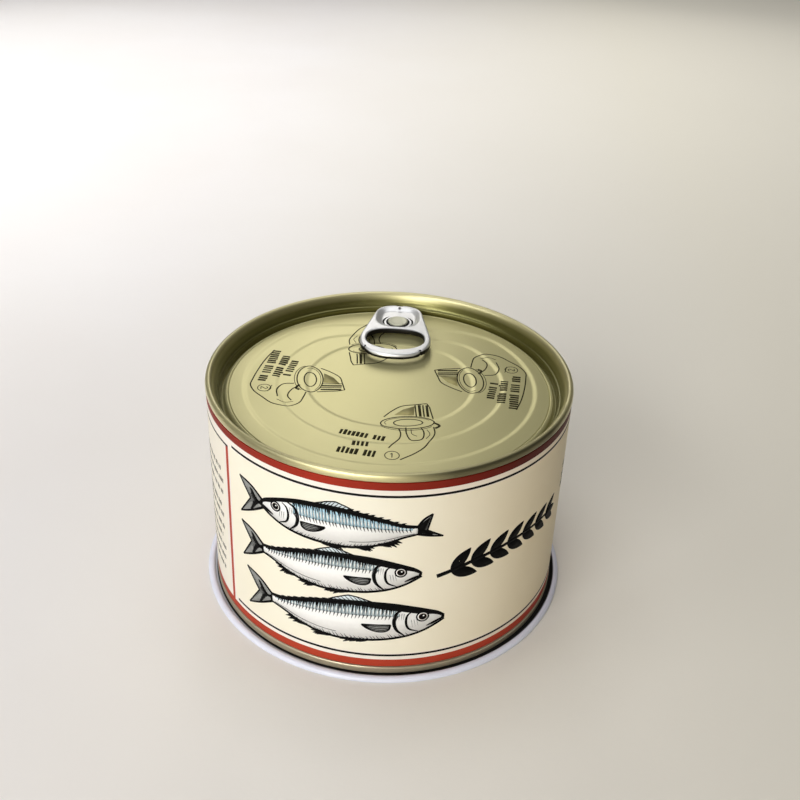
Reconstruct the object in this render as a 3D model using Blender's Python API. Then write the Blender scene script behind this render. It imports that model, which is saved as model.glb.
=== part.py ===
"""Round food tin with a ring-pull lid, standing in its shallow white plastic lid.

Metres, +Z up, origin at the middle of the underside. The ring pull is at the back, on +Y.
"""

import math

import bmesh
import bpy
import numpy as np

MM = 0.001
SIDES = 72
CLEARANCE = 0.3 * MM

HEIGHT = 66.4 * MM
SEAM_RADIUS = 51.2 * MM
LABEL_RADIUS = 51.05 * MM
BODY_RADIUS = 50.25 * MM

PANEL = HEIGHT - 5.0 * MM
STEP_RISE = 0.2 * MM
STEP_WIDTH = 1.6 * MM
# Each raised step of the panel: radius, how far back its centre is, and the y of its straight back edge.
PANEL_STEPS = (
    (23.7 * MM, 2.7 * MM, 23.8 * MM),
    (32.0 * MM, 2.5 * MM, 29.5 * MM),
    (41.0 * MM, 1.7 * MM, 35.6 * MM),
)
STEP_CORNER = 14
SCORE_RADIUS = 45.1 * MM
SCORE_DEPTH = 0.12 * MM
LID_UNDERSIDE = HEIGHT - 7.2 * MM

LABEL_TOP = HEIGHT - 2.35 * MM
LABEL_BOTTOM = HEIGHT - 63.1 * MM

RIVET_Y = 35.4 * MM
RIVET_SHANK = 2.2 * MM
RIVET_HEAD = 3.2 * MM
RIVET_HEAD_BOTTOM = HEIGHT - 3.2 * MM
RIVET_HEAD_TOP = HEIGHT - 2.6 * MM

TAB_BOTTOM = HEIGHT - 4.0 * MM
TAB_TOP = HEIGHT - 2.3 * MM
TAB_WEB_TOP = HEIGHT - 3.5 * MM
TAB_SIDES = 72
TAB_EDGE = 0.45 * MM
# Rounded outlines of the tab: middle y, half width, half length, and how square the corners are.
TAB_RING = (23.4 * MM, 10.7 * MM, 10.0 * MM, 2.3)
TAB_NOSE = (38.4 * MM, 7.6 * MM, 7.1 * MM, 2.5)
TAB_WELL = (37.4 * MM, 5.8 * MM, 5.9 * MM, 3.0)
TAB_HOLE_Y = 22.6 * MM
TAB_HOLE_HALF_WIDTH = 8.6 * MM
TAB_HOLE_FRONT = 6.6 * MM
TAB_HOLE_BACK = 6.6 * MM

CAP_FLOOR = 0.5 * MM


def metal(name, colour, roughness):
    material = painted(name, colour, roughness)
    material.node_tree.nodes["Principled BSDF"].inputs["Metallic"].default_value = 1.0
    return material


def painted(name, colour, roughness):
    material = bpy.data.materials.new(name)
    material.use_nodes = True
    shader = material.node_tree.nodes["Principled BSDF"]
    shader.inputs["Base Color"].default_value = (*colour, 1.0)
    shader.inputs["Roughness"].default_value = roughness
    return material


def circle(radius, z, sides=SIDES, y=0.0):
    """The points of a level circle as rows of x, y and z."""
    turn = np.arange(sides) * (2 * math.pi / sides)
    return np.stack(
        [radius * np.cos(turn), y + radius * np.sin(turn), np.full(sides, z)], axis=1
    )


def rings(profile):
    """One circle for each radius and height of a profile, or a single point where the radius is nothing."""
    return [circle(r, z) if r > 0 else np.array([[0.0, 0.0, z]]) for r, z in profile]


def step_outline(radius, centre_y, back_y, grow, z):
    """A circle with its back cut straight and the two corners rounded, moved outwards by grow."""
    turn = np.arange(SIDES) * (2 * math.pi / SIDES)
    round_part = 1 / (radius + grow)
    flat_part = np.maximum(np.sin(turn), 0) / (back_y - centre_y + grow)
    reach = (round_part**STEP_CORNER + flat_part**STEP_CORNER) ** (-1 / STEP_CORNER)
    return np.stack(
        [
            reach * np.cos(turn),
            centre_y + reach * np.sin(turn),
            np.full(SIDES, z),
        ],
        axis=1,
    )


def rounded_outline(outline, grow=0.0):
    """The edge points of a rounded box and their outward directions, one for each direction round it."""
    middle, half_width, half_length, square = outline
    turn = np.arange(4 * TAB_SIDES) * (2 * math.pi / (4 * TAB_SIDES))
    way = np.stack([np.cos(turn), np.sin(turn)], axis=1)
    half = np.array([half_width, half_length])
    other = square / (square - 1)
    pull = np.abs(way * half)
    support = (pull**other).sum(axis=1) ** (1 / other)
    corner = half * np.sign(way) * (pull / support[:, None]) ** (other - 1)
    points = corner + np.array([0.0, middle]) + way * grow
    return points, support + way[:, 1] * middle + grow


def resampled(points, count):
    """The same closed outline as count points spaced evenly along it."""
    closed = np.vstack([points, points[:1]])
    lengths = np.hypot(*np.diff(closed, axis=0).T)
    along = np.concatenate([[0.0], np.cumsum(lengths)])
    wanted = np.arange(count) * (along[-1] / count)
    return np.stack([np.interp(wanted, along, closed[:, i]) for i in (0, 1)], axis=1)


def tab_outline(grow):
    """The outline drawn tight round the ring and the nose of the tab, moved outwards by grow."""
    ring, ring_reach = rounded_outline(TAB_RING, grow)
    nose, nose_reach = rounded_outline(TAB_NOSE, grow)
    return resampled(np.where((ring_reach > nose_reach)[:, None], ring, nose), TAB_SIDES)


def well_outline(grow):
    """The outline of the sunk floor round the rivet."""
    return resampled(rounded_outline(TAB_WELL, grow)[0], TAB_SIDES)


def hole_outline(grow):
    """The finger hole: half an ellipse in front and a squarer half towards the rivet."""
    turn = np.arange(TAB_SIDES) * (2 * math.pi / TAB_SIDES)
    back = np.sin(turn) > 0
    power = np.where(back, 2 / 2.8, 1.0)
    half_length = np.where(back, TAB_HOLE_BACK, TAB_HOLE_FRONT) + grow
    x = np.sign(np.cos(turn)) * np.abs(np.cos(turn)) ** power
    y = np.sign(np.sin(turn)) * np.abs(np.sin(turn)) ** power
    points = np.stack(
        [(TAB_HOLE_HALF_WIDTH + grow) * x, TAB_HOLE_Y + half_length * y], axis=1
    )
    return resampled(points, TAB_SIDES)


def level(outline, z):
    """An outline of x and y rows placed at one height."""
    return np.column_stack([outline, np.full(len(outline), z)])


def solid(name, loops, material, joined=False):
    """One closed body through loops of points. A loop of one point is a tip; joined runs the last loop to the first."""
    mesh = bmesh.new()
    rows = [[mesh.verts.new(point) for point in loop] for loop in loops]
    pairs = list(zip(rows, rows[1:] + rows[:1]))
    for low, high in pairs if joined else pairs[:-1]:
        count = max(len(low), len(high))
        for i in range(count):
            j = (i + 1) % count
            if len(low) == 1:
                mesh.faces.new((low[0], high[i], high[j]))
            elif len(high) == 1:
                mesh.faces.new((low[i], low[j], high[0]))
            else:
                mesh.faces.new((low[i], low[j], high[j], high[i]))
    if not joined:
        for row in (rows[0], rows[-1]):
            if len(row) > 1:
                mesh.faces.new(row)
    bmesh.ops.recalc_face_normals(mesh, faces=mesh.faces)
    data = bpy.data.meshes.new(name)
    mesh.to_mesh(data)
    mesh.free()
    thing = bpy.data.objects.new(name, data)
    bpy.context.scene.collection.objects.link(thing)
    if material:
        data.materials.append(material)
    data.shade_smooth()
    data.set_sharp_from_angle(angle=math.radians(35))
    return thing


def combine(thing, other, operation):
    """Adds an exact Boolean of another object, which then no longer shows."""
    step = thing.modifiers.new(other.name, "BOOLEAN")
    step.operation = operation
    step.solver = "EXACT"
    step.object = other
    other.hide_render = True
    other.display_type = "WIRE"


def below_top(profile):
    """A profile written as radius and drop below the top of the tin, in millimetres, as metres and heights."""
    return [(r * MM, HEIGHT - drop * MM) for r, drop in profile]


def build_body(gold):
    """The filled drum between the two ends."""
    low = HEIGHT - 60.9 * MM
    high = LID_UNDERSIDE - CLEARANCE
    solid("tin_body", [circle(BODY_RADIUS, low), circle(BODY_RADIUS, high)], gold)


def build_label(paper):
    """The paper sleeve round the drum."""
    inner = BODY_RADIUS + CLEARANCE
    corners = [
        (inner, LABEL_BOTTOM),
        (LABEL_RADIUS, LABEL_BOTTOM),
        (LABEL_RADIUS, LABEL_TOP),
        (inner, LABEL_TOP),
    ]
    solid("label", rings(corners), paper, joined=True)


def build_top_end(gold):
    """The lid: stepped panel, score line, groove, wall with a ledge, rolled seam and rivet."""
    top = PANEL + len(PANEL_STEPS) * STEP_RISE
    loops = [np.array([[0.0, PANEL_STEPS[0][1], top]])]
    for index, (radius, centre_y, back_y) in enumerate(PANEL_STEPS):
        high = top - index * STEP_RISE
        edges = ((-STEP_WIDTH / 2, high), (STEP_WIDTH / 2, high - STEP_RISE))
        for grow, z in edges:
            loops.append(step_outline(radius, centre_y, back_y, grow, z))
    loops += rings(
        [
            (SCORE_RADIUS - 0.2 * MM, PANEL),
            (SCORE_RADIUS, PANEL - SCORE_DEPTH),
            (SCORE_RADIUS + 0.2 * MM, PANEL - 0.02 * MM),
        ]
    )
    loops += rings(
        below_top(
            [
                (45.8, 5.1),
                (46.25, 5.5),
                (46.5, 6.1),
                (46.8, 6.3),
                (47.1, 6.1),
                (47.35, 4.7),
                (47.5, 4.3),
                (47.9, 4.15),
                (48.2, 3.8),
                (48.75, 1.2),
                (49.1, 0.5),
                (49.6, 0.12),
                (50.2, 0.0),
                (50.8, 0.15),
                (51.12, 0.5),
            ]
        )
    )
    loops += rings(
        [
            (SEAM_RADIUS, HEIGHT - 0.95 * MM),
            (SEAM_RADIUS, HEIGHT - 1.7 * MM),
            (SEAM_RADIUS - 0.25 * MM, HEIGHT - 2.0 * MM),
            (BODY_RADIUS, HEIGHT - 2.05 * MM),
            (BODY_RADIUS, LID_UNDERSIDE),
            (0.0, LID_UNDERSIDE),
        ]
    )
    lid = solid("top_end", loops, gold)
    rivet = [
        (0.0, PANEL - 1.0 * MM),
        (RIVET_SHANK, PANEL - 1.0 * MM),
        (RIVET_SHANK, RIVET_HEAD_BOTTOM),
        (RIVET_HEAD, RIVET_HEAD_BOTTOM),
        (RIVET_HEAD, RIVET_HEAD_TOP - 0.2 * MM),
        (RIVET_HEAD - 0.3 * MM, RIVET_HEAD_TOP),
        (0.0, RIVET_HEAD_TOP),
    ]
    stem = [
        circle(r, z, 32, RIVET_Y) if r > 0 else np.array([[0.0, RIVET_Y, z]])
        for r, z in rivet
    ]
    combine(lid, solid("rivet_tool", stem, gold), "UNION")


def build_bottom_end(gold):
    """The plain lower end, with its own rolled seam."""
    profile = below_top(
        [
            (0.0, 61.2),
            (50.25, 61.2),
            (50.25, 63.4),
            (50.95, 63.4),
            (51.2, 63.7),
            (51.2, 65.05),
            (50.95, 65.4),
            (50.3, 65.6),
            (49.7, 65.45),
            (49.35, 65.0),
            (48.8, 62.7),
            (48.4, 62.4),
            (0.0, 62.4),
        ]
    )
    solid("bottom_end", rings(profile), gold)


def build_pull_tab(aluminium):
    """The ring pull: rounded outside, finger hole, and a sunk floor with a hole for the rivet."""
    edge = TAB_EDGE
    outside = [
        level(tab_outline(-edge), TAB_BOTTOM),
        level(tab_outline(-0.3 * edge), TAB_BOTTOM + 0.3 * edge),
        level(tab_outline(0.0), TAB_BOTTOM + edge),
        level(tab_outline(0.0), TAB_TOP - edge),
        level(tab_outline(-0.3 * edge), TAB_TOP - 0.3 * edge),
        level(tab_outline(-edge), TAB_TOP),
    ]
    tab = solid("pull_tab", outside, aluminium)
    hole = [
        level(hole_outline(1.4 * edge), TAB_BOTTOM - 0.4 * edge),
        level(hole_outline(0.0), TAB_BOTTOM + edge),
        level(hole_outline(0.0), TAB_TOP - edge),
        level(hole_outline(1.4 * edge), TAB_TOP + 0.4 * edge),
    ]
    combine(tab, solid("hole_tool", hole, None), "DIFFERENCE")
    well = [
        level(well_outline(-0.3 * MM), TAB_WEB_TOP),
        level(well_outline(0.0), TAB_WEB_TOP + 0.4 * MM),
        level(well_outline(0.5 * MM), TAB_TOP + 0.5 * MM),
    ]
    combine(tab, solid("well_tool", well, None), "DIFFERENCE")
    reach = RIVET_SHANK + CLEARANCE + 0.1 * MM
    bore = [
        circle(reach, TAB_BOTTOM - 1.0 * MM, 32, RIVET_Y),
        circle(reach, TAB_TOP + 1.0 * MM, 32, RIVET_Y),
    ]
    combine(tab, solid("bore_tool", bore, None), "DIFFERENCE")


def build_cap(plastic):
    """The shallow plastic lid under the tin: a flat floor with a low rounded rim."""
    profile = [
        (0.0, CAP_FLOOR),
        (51.9 * MM, CAP_FLOOR),
        (52.2 * MM, 0.65 * MM),
        (52.3 * MM, 1.0 * MM),
        (52.6 * MM, 1.3 * MM),
        (53.1 * MM, 1.4 * MM),
        (53.7 * MM, 1.15 * MM),
        (54.05 * MM, 0.7 * MM),
        (54.05 * MM, 0.25 * MM),
        (53.85 * MM, 0.0),
        (0.0, 0.0),
    ]
    solid("base_cap", rings(profile), plastic)


def main():
    for thing in list(bpy.data.objects):
        bpy.data.objects.remove(thing, do_unlink=True)
    gold = metal("gold_lacquer", (0.62, 0.57, 0.31), 0.32)
    build_body(gold)
    build_label(painted("label_paper", (0.90, 0.85, 0.72), 0.5))
    build_top_end(gold)
    build_bottom_end(gold)
    build_pull_tab(metal("tab_aluminium", (0.83, 0.84, 0.85), 0.3))
    build_cap(painted("white_plastic", (0.84, 0.84, 0.88), 0.35))


main()
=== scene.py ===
"""Looks of a round food tin with a ring-pull lid, standing in its shallow white plastic lid.

Metres, +Z up, origin at the middle of the underside. The ring pull is at the back, on +Y.
Names that end in _MM and the drawings of the prints are in millimetres. A drop is a
distance below the top of the upper seam.
"""

import math

import bmesh
import bpy
import numpy as np
from mathutils import Matrix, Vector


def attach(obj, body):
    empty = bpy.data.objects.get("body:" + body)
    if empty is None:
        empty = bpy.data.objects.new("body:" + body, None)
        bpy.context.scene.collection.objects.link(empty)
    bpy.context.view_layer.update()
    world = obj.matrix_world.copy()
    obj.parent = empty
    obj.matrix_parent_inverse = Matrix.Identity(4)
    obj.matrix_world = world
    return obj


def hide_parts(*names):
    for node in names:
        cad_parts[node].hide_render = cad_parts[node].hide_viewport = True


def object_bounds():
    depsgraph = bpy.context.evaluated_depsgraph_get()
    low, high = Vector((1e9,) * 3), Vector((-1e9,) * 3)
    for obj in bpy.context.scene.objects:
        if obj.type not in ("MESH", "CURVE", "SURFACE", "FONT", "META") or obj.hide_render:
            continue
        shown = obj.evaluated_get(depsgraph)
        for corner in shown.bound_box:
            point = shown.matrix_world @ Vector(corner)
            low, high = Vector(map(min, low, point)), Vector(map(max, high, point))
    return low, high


bl_info = {
    "name": "Ring-pull food tin",
    "version": (1, 0, 0),
    "blender": (4, 5, 0),
    "location": "3D View > Sidebar > Tin",
    "description": "Builds the lid, ring pull, printed label, seams and plastic lid of a round food tin",
    "category": "Add Mesh",
}

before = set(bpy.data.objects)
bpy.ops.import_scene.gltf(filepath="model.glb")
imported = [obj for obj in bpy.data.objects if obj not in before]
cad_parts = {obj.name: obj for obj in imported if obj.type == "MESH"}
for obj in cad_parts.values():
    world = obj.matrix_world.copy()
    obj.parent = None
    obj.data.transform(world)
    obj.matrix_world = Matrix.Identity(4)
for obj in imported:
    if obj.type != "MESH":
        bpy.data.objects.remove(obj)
CAD_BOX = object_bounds()

MM = 0.001
TOP = CAD_BOX[1][2]
AROUND = 384
SHARP_DEG = 40.0

# The lid's profile outside the panel: radius and drop.
LID_EDGE_MM = (
    (44.6, 5.0), (44.85, 5.0), (44.98, 5.03), (45.1, 5.16), (45.22, 5.03), (45.4, 5.0),
    (45.8, 5.1), (46.25, 5.5), (46.5, 6.1), (46.8, 6.3), (47.1, 6.1), (47.3, 5.0),
    (47.42, 4.45), (47.62, 4.24), (47.9, 4.14), (48.1, 3.85), (48.5, 2.7), (48.9, 1.5),
    (49.2, 0.75), (49.65, 0.2), (50.2, 0.0), (50.7, 0.12), (51.02, 0.45), (51.17, 0.9),
    (51.2, 1.3), (51.16, 1.7), (51.04, 2.05), (50.85, 2.22), (50.55, 2.26), (50.25, 2.28),
)
LID_SKIRT_MM = ((50.25, 4.5), (50.25, 7.2))
# Sunk steps of the panel: radius, how far back the centre is, y of the straight back edge.
PANEL_STEPS_MM = ((23.7, 2.7, 23.8), (32.0, 2.5, 29.5), (41.0, 1.7, 35.6))
PANEL_DROP_MM = 5.0
STEP_CORNER = 0.19
STEP_ZONE_MM = 1.6
# Shallow waves of the panel: their height, and the radius and width over which they fade out.
WAVE_MM, WAVE_EDGE_MM, WAVE_FADE_MM = 0.018, 43.5, 8.0
# The rivet: radius and drop.
RIVET_MM = (
    (0.4, 2.74), (1.4, 2.74), (2.1, 2.72), (2.5, 2.66), (2.8, 2.68), (3.02, 2.8), (3.08, 2.95),
    (3.0, 3.08), (2.8, 3.12), (2.4, 3.14), (2.2, 3.4), (2.2, 4.2), (2.2, 5.2),
)
RIVET_Y_MM = 35.4
# The lower seam: radius and drop.
LOWER_SEAM_MM = (
    (50.25, 61.2), (50.25, 62.6), (50.25, 63.3), (50.6, 63.38), (50.95, 63.42), (51.14, 63.55),
    (51.2, 63.8), (51.2, 64.4), (51.2, 65.1), (51.15, 65.4), (50.95, 65.56), (50.4, 65.62),
    (49.8, 65.5), (49.4, 65.1), (49.1, 64.0), (48.8, 62.7), (48.4, 62.4), (46.0, 62.4),
)
# The plastic lid's rim: radius and height over the ground.
BASE_RIM_MM = (
    (51.0, 0.5), (51.4, 0.5), (51.75, 0.56), (51.98, 0.74), (52.15, 1.0), (52.5, 1.28),
    (53.05, 1.4), (53.62, 1.24), (53.92, 0.92), (54.05, 0.55), (54.05, 0.28), (53.97, 0.08),
    (53.8, 0.0), (53.0, 0.0), (51.0, 0.0),
)
LABEL_TOP_MM = 2.35
LABEL_INNER_MM = 50.55
# Points in a rounded outline.
OUTLINE_POINTS = 1440
# Rounded outlines of the ring pull: middle y, half width, half length, and how square the corners are.
TAB_RING_MM = (23.3, 10.7, 10.4, 2.3)
TAB_NOSE_MM = (38.4, 7.6, 7.1, 2.5)
TAB_WELL_MM = (37.4, 5.8, 5.9, 3.0)
# The finger hole: middle y, half width, and its reach to the front and to the back.
TAB_HOLE_MM = (22.8, 8.6, 6.2, 6.5)
TAB_BRIDGE_Y_MM = 30.35
# Heights from the seam's top: the underside and the floor round the rivet; then the slope's
# width, the bore's radius and the border of the floor that the slope takes up.
TAB_BOTTOM_MM, TAB_FLOOR_MM = -4.25, -3.2
TAB_SLOPE_MM, TAB_BORE_MM, TAB_FOOT_MM = 2.3, 2.6, 1.0
# Notches of the stamping: x, y, depth and width.
TAB_NOTCHES_MM = ((0.0, 45.5, 1.4, 0.55), (-9.1, 17.1, 0.5, 0.36), (8.2, 15.9, 0.5, 0.36))
# Dark spots of painted shade in the notches at the nose and beside the ring: middle and half sizes.
TAB_MARKS_MM = (((0.0, 43.6), (0.38, 0.36)), ((-8.6, 17.4), (0.3, 0.3)), ((7.8, 16.25), (0.3, 0.3)))
# Heights between which the plate's edge goes from painted shade to bright, outside and in the finger
# hole, and the half sizes of the box round the well and of the oval round the hole that part them.
TAB_SHADE_MM, TAB_HOLE_SHADE_MM = (-3.3, -3.0), (-2.65, -2.36)
WELL_ZONE_MM, HOLE_ZONE_MM = (6.5, 6.7), (9.7, 7.5)
# Scales of the brush marks across, along and through the ring pull.
BRUSH_SCALE = (5000.0, 350.0, 900.0)
# The lid's drawn wall: its range of radii and its tint over the gold, which is painted shade; and the milky
# tone of the panel.
WALL_MM = (46.6, 49.0)
WALL_SHADE_TINT = (0.215, 0.22, 0.10)
PANEL_MILK = (0.54, 0.515, 0.262)
# Gold of the rivet and of the lower seam.
RIVET_GOLD, LOWER_GOLD = (0.60, 0.60, 0.48), (0.56, 0.50, 0.36)
# Where the upper seam is darker, as painted dark reflections: angles round from the front in degrees, and how
# much.
SEAM_SHADE_DEG = ((-58.0, -40.0, -28.0, -14.0, 0.5), (2.0, 22.0, 58.0, 78.0, 0.88))
# The red bands: the upper one's shares of its colour far round each side, where painted shadow under the seam
# darkens it, and the lower one's tint.
RED_SHADED_LEFT, RED_SHADED_RIGHT = 0.62, 0.2
RED_LOW = (1.25, 1.75, 1.7)


# ---------------------------------------------------------------- settings


def length_setting(name, description, default_mm, **limits):
    """A length that a user can change."""
    return bpy.props.FloatProperty(
        name=name, description=description, default=default_mm * MM, unit="LENGTH", **limits)


def colour_setting(name, description, default):
    """A colour that a user can change, as linear values."""
    return bpy.props.FloatVectorProperty(
        name=name, description=description, default=default, size=3, subtype="COLOR", min=0, max=1)


def power_setting(name, description, default):
    """The power of a light, or of a few lights together."""
    return bpy.props.FloatProperty(name=name, description=description, default=default, min=0.0, unit="POWER")


class TinSizes(bpy.types.PropertyGroup):
    """Sizes of the tin's finish that can be changed without touching its solids"""

    step_drop: length_setting("Step drop", "Depth of each sunk step of the lid's panel", 0.2, min=0.0)
    step_width: length_setting("Step width", "Width over which a step of the panel falls", 1.8, min=0.0002)
    tab_top: length_setting("Ring pull drop", "How far the ring pull's top lies below the seam", 2.3)
    tab_round: length_setting("Ring pull rounding", "Width of the rounded border of the ring pull", 0.65)
    label_radius: length_setting("Label radius", "Radius of the outside of the paper label", 51.05)
    ink_step: length_setting("Ink step", "Height of each layer of ink over the one below", 0.016)
    ink_depth: length_setting("Ink depth", "Thickness of a layer of ink, most of it sunk in", 0.12)


class TinColours(bpy.types.PropertyGroup):
    """Colours of the tin's finishes, as linear values"""

    gold: colour_setting("Gold lacquer", "Colour of the lacquered metal", (0.735, 0.675, 0.365))
    silver: colour_setting("Aluminium", "Colour of the bare ring pull", (0.86, 0.865, 0.875))
    cream: colour_setting("Cream paper", "Ground colour of the label", (0.90, 0.86, 0.72))
    white: colour_setting("White paper", "Colour of the strips beside the bands", (0.88, 0.83, 0.76))
    red: colour_setting("Red band", "Colour of the label's bands and upright rule", (0.35, 0.028, 0.013))
    ink: colour_setting("Black ink", "Colour of the lines of the print", (0.004, 0.004, 0.004))
    blue: colour_setting("Blue ink", "Colour of the band along the backs of the fish", (0.34, 0.52, 0.62))
    plastic: colour_setting("White plastic", "Colour of the lid under the tin", (0.79, 0.815, 0.93))
    floor: colour_setting("Floor", "Colour of the pale floor", (0.785, 0.758, 0.745))


class StageSettings(bpy.types.PropertyGroup):
    """Light and camera"""

    key_power: power_setting("Key light", "Power of the low soft light in front", 2.05)
    side_power: power_setting("Side lights", "Power of the soft lights at the front left and left", 1.0)
    card_power: power_setting("Pale card", "Power of the bright card behind, which the lid mirrors", 0.68)
    wall_power: power_setting("Wall lights", "Power of the dim lights behind and at the right", 1.0)
    wash_power: power_setting("Floor washes", "Power of the lights on the floor behind and at the left", 0.8)
    backdrop_power: power_setting("Backdrop light", "Power of the wide light over the floor behind", 7.6)
    room: bpy.props.FloatProperty(
        name="Room light", description="Strength of the dim light from all round", default=0.06, min=0.0)
    lens: bpy.props.FloatProperty(
        name="Lens", description="Focal length of the camera in millimetres", default=46.506, min=1.0)


# ---------------------------------------------------------------- curves and surfaces


def pairs(x, y):
    """Points or vectors in a plane from their x and y."""
    return np.stack([x, y], axis=-1)


def angles(sides=AROUND):
    """Angles in equal steps once round, from +X."""
    return np.arange(sides) * (2 * math.pi / sides)


def compass(turn):
    """The directions at some angles: x = cos a, y = sin a."""
    return pairs(np.cos(turn), np.sin(turn))


def unit(vectors):
    """Vectors brought to a length of one."""
    return vectors / np.maximum(np.linalg.norm(vectors, axis=-1, keepdims=True), 1e-9)


def left_of(along):
    """Plane vectors turned a quarter to the left: x = -y, y = x."""
    return pairs(-along[..., 1], along[..., 0])


def smooth_path(keys, count):
    """Points evenly spaced on a smooth curve through key points.

    Each span is a cubic whose end slopes are the steps to both neighbours, weighted by the
    length of the other step. The curve is then cut into equal lengths.
    """
    keys = np.asarray(keys, float)
    step = np.diff(keys, axis=0)
    size = np.maximum(np.hypot(step[:, 0], step[:, 1]), 1e-9)
    slope = step / size[:, None]
    before, after = size[:-1, None], size[1:, None]
    inner = (after * slope[:-1] + before * slope[1:]) / (before + after)
    tangent = np.vstack([slope[:1], inner, slope[-1:]])
    at = np.concatenate([[0.0], np.cumsum(size)])
    fine = np.linspace(0, at[-1], max(count * 6, 600))
    span = np.clip(np.searchsorted(at, fine, side="right") - 1, 0, len(size) - 1)
    size = size[span][:, None]
    t = (fine[:, None] - at[span][:, None]) / size
    line = (
        (2 * t**3 - 3 * t**2 + 1) * keys[span]
        + (t**3 - 2 * t**2 + t) * size * tangent[span]
        + (3 * t**2 - 2 * t**3) * keys[span + 1]
        + (t**3 - t**2) * size * tangent[span + 1]
    )
    return even(line, count)


def even(points, count, closed=False):
    """The same line as count points at equal distances along it."""
    if closed:
        points = np.vstack([points, points[:1]])
    along = np.concatenate([[0.0], np.cumsum(np.hypot(*np.diff(points, axis=0).T))])
    wanted = np.arange(count) * (along[-1] / count) if closed else np.linspace(0, along[-1], count)
    return read_off(wanted, along, points)


def read_off(wanted, known, points, **options):
    """Points of a line at wanted places, where the places of its own points are known."""
    return pairs(*(np.interp(wanted, known, column, **options) for column in points.T))


def ease(value):
    """Rises from 0 to 1 without a corner: three times the square less twice the cube."""
    value = np.clip(value, 0.0, 1.0)
    return value * value * (3 - 2 * value)


def part_way(start, end, parts):
    """Lines part of the way from one line to another."""
    return [start + (end - start) * part for part in parts]


def inner_parts(count):
    """Equal parts of the way between two lines that are there already."""
    return np.linspace(0, 1, count + 2)[1:-1]


def turned(radius_and_z, sides=AROUND):
    """A profile of radius and height turned about the tin's axis: x = r cos a, y = r sin a."""
    flat = radius_and_z[:, :1, None] * compass(angles(sides))
    z = np.broadcast_to(radius_and_z[:, 1:, None], (*flat.shape[:2], 1))
    return np.concatenate([flat, z], axis=-1)


def below_top(radius_and_drop):
    """A profile of radius and drop in millimetres as radius and height in metres."""
    profile = np.asarray(radius_and_drop)
    return pairs(profile[:, 0] * MM, TOP - profile[:, 1] * MM)


def grid_faces(rows, cols, wrap_rows=False, wrap_cols=False):
    """Corner numbers of the faces between neighbouring rows and columns of a grid of points."""
    i = np.arange(rows if wrap_rows else rows - 1)[:, None]
    j = np.arange(cols if wrap_cols else cols - 1)[None, :]
    up, across = (i + 1) % rows, (j + 1) % cols
    return np.stack([i * cols + j, up * cols + j, up * cols + across, i * cols + across], axis=-1)


def loft(loops, first_tip=None):
    """A skin through closed loops, facing outwards, closed at each end by a point.

    The point is the middle of the end loop, unless the first one is given.
    """
    rows, cols = loops.shape[:2]
    first_tip = loops[0].mean(axis=0) if first_tip is None else first_tip
    points = np.vstack([loops.reshape(-1, 3), [first_tip, loops[-1].mean(axis=0)]])
    j = np.arange(cols)
    k = (j + 1) % cols
    first, last, base = rows * cols, rows * cols + 1, (rows - 1) * cols
    faces = [
        grid_faces(rows, cols, wrap_cols=True).reshape(-1, 4),
        np.stack([np.full(cols, first), j, k], axis=1),
        np.stack([base + j, np.full(cols, last), base + k], axis=1),
    ]
    return outward(points, faces)


def outward(points, faces):
    """Turns the faces of a closed skin round if the volume that they enclose comes out negative."""
    volume = 0.0
    for block in faces:
        a = points[block[:, 0]]
        for n in range(1, block.shape[1] - 1):
            volume += np.einsum("ij,ij->", a, np.cross(points[block[:, n]], points[block[:, n + 1]]))
    return points, [block[:, ::-1] for block in faces] if volume < 0 else faces


def shown(name, data):
    """A new object in the scene."""
    made = bpy.data.objects.new(name, data)
    bpy.context.scene.collection.objects.link(made)
    return made


def put(name, shells, materials, *nodes, slot, merge=0.0):
    """One object at the origin made of shells: points, faces and the number of their material.

    Shells that only close together are merged where they meet and turned outwards.
    """
    points, faces, which, start = [], [], [], 0
    for shell_points, shell_faces, material in shells:
        points.append(shell_points)
        for block in shell_faces:
            faces += (block + start).tolist()
            which.append(np.full(len(block), material))
        start += len(shell_points)
    mesh = bpy.data.meshes.new(name)
    mesh.from_pydata(np.vstack(points), [], faces)
    mesh.polygons.foreach_set("material_index", np.concatenate(which).astype(np.int32))
    if merge:
        work = bmesh.new()
        work.from_mesh(mesh)
        bmesh.ops.remove_doubles(work, verts=work.verts, dist=merge)
        bmesh.ops.recalc_face_normals(work, faces=work.faces)
        work.to_mesh(mesh)
        work.free()
    for material in materials:
        mesh.materials.append(material)
    mesh.shade_smooth()
    mesh.set_sharp_from_angle(angle=math.radians(SHARP_DEG))
    piece = shown(name, mesh)
    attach(piece, "root")
    if nodes:
        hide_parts(*nodes)
    return piece


# ---------------------------------------------------------------- material nodes


def math_node(operation):
    """A method that joins a value to another with a Math node."""
    return lambda self, other: calc(operation, self, other)


class Value:
    """A number in a node tree, on which Python's operators add Math nodes; | takes the larger."""

    def __init__(self, socket):
        self.socket = socket
        self.tree = socket.id_data

    __add__ = math_node("ADD")
    __sub__ = math_node("SUBTRACT")
    __mul__ = math_node("MULTIPLY")
    __truediv__ = math_node("DIVIDE")
    __pow__ = math_node("POWER")
    __or__ = math_node("MAXIMUM")
    __gt__ = math_node("GREATER_THAN")
    __lt__ = math_node("LESS_THAN")

    def __rsub__(self, other):
        return calc("SUBTRACT", other, self)

    def __abs__(self):
        return calc("ABSOLUTE", self)


def node(tree, kind, inputs=(), **settings):
    """A node with its settings, and its inputs set to constants or joined to other nodes' outputs."""
    made = tree.nodes.new(kind)
    for key, value in settings.items():
        setattr(made, key, value)
    for key, value in dict(inputs).items():
        join(made.inputs[key], value)
    return made


def join(socket, value):
    """Links a value or an output to a socket, or sets the socket to a constant."""
    value = getattr(value, "socket", value)
    if isinstance(value, bpy.types.NodeSocket):
        socket.id_data.links.new(value, socket)
    elif socket.type == "RGBA":
        socket.default_value = (*value, 1.0)
    else:
        socket.default_value = value


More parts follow.
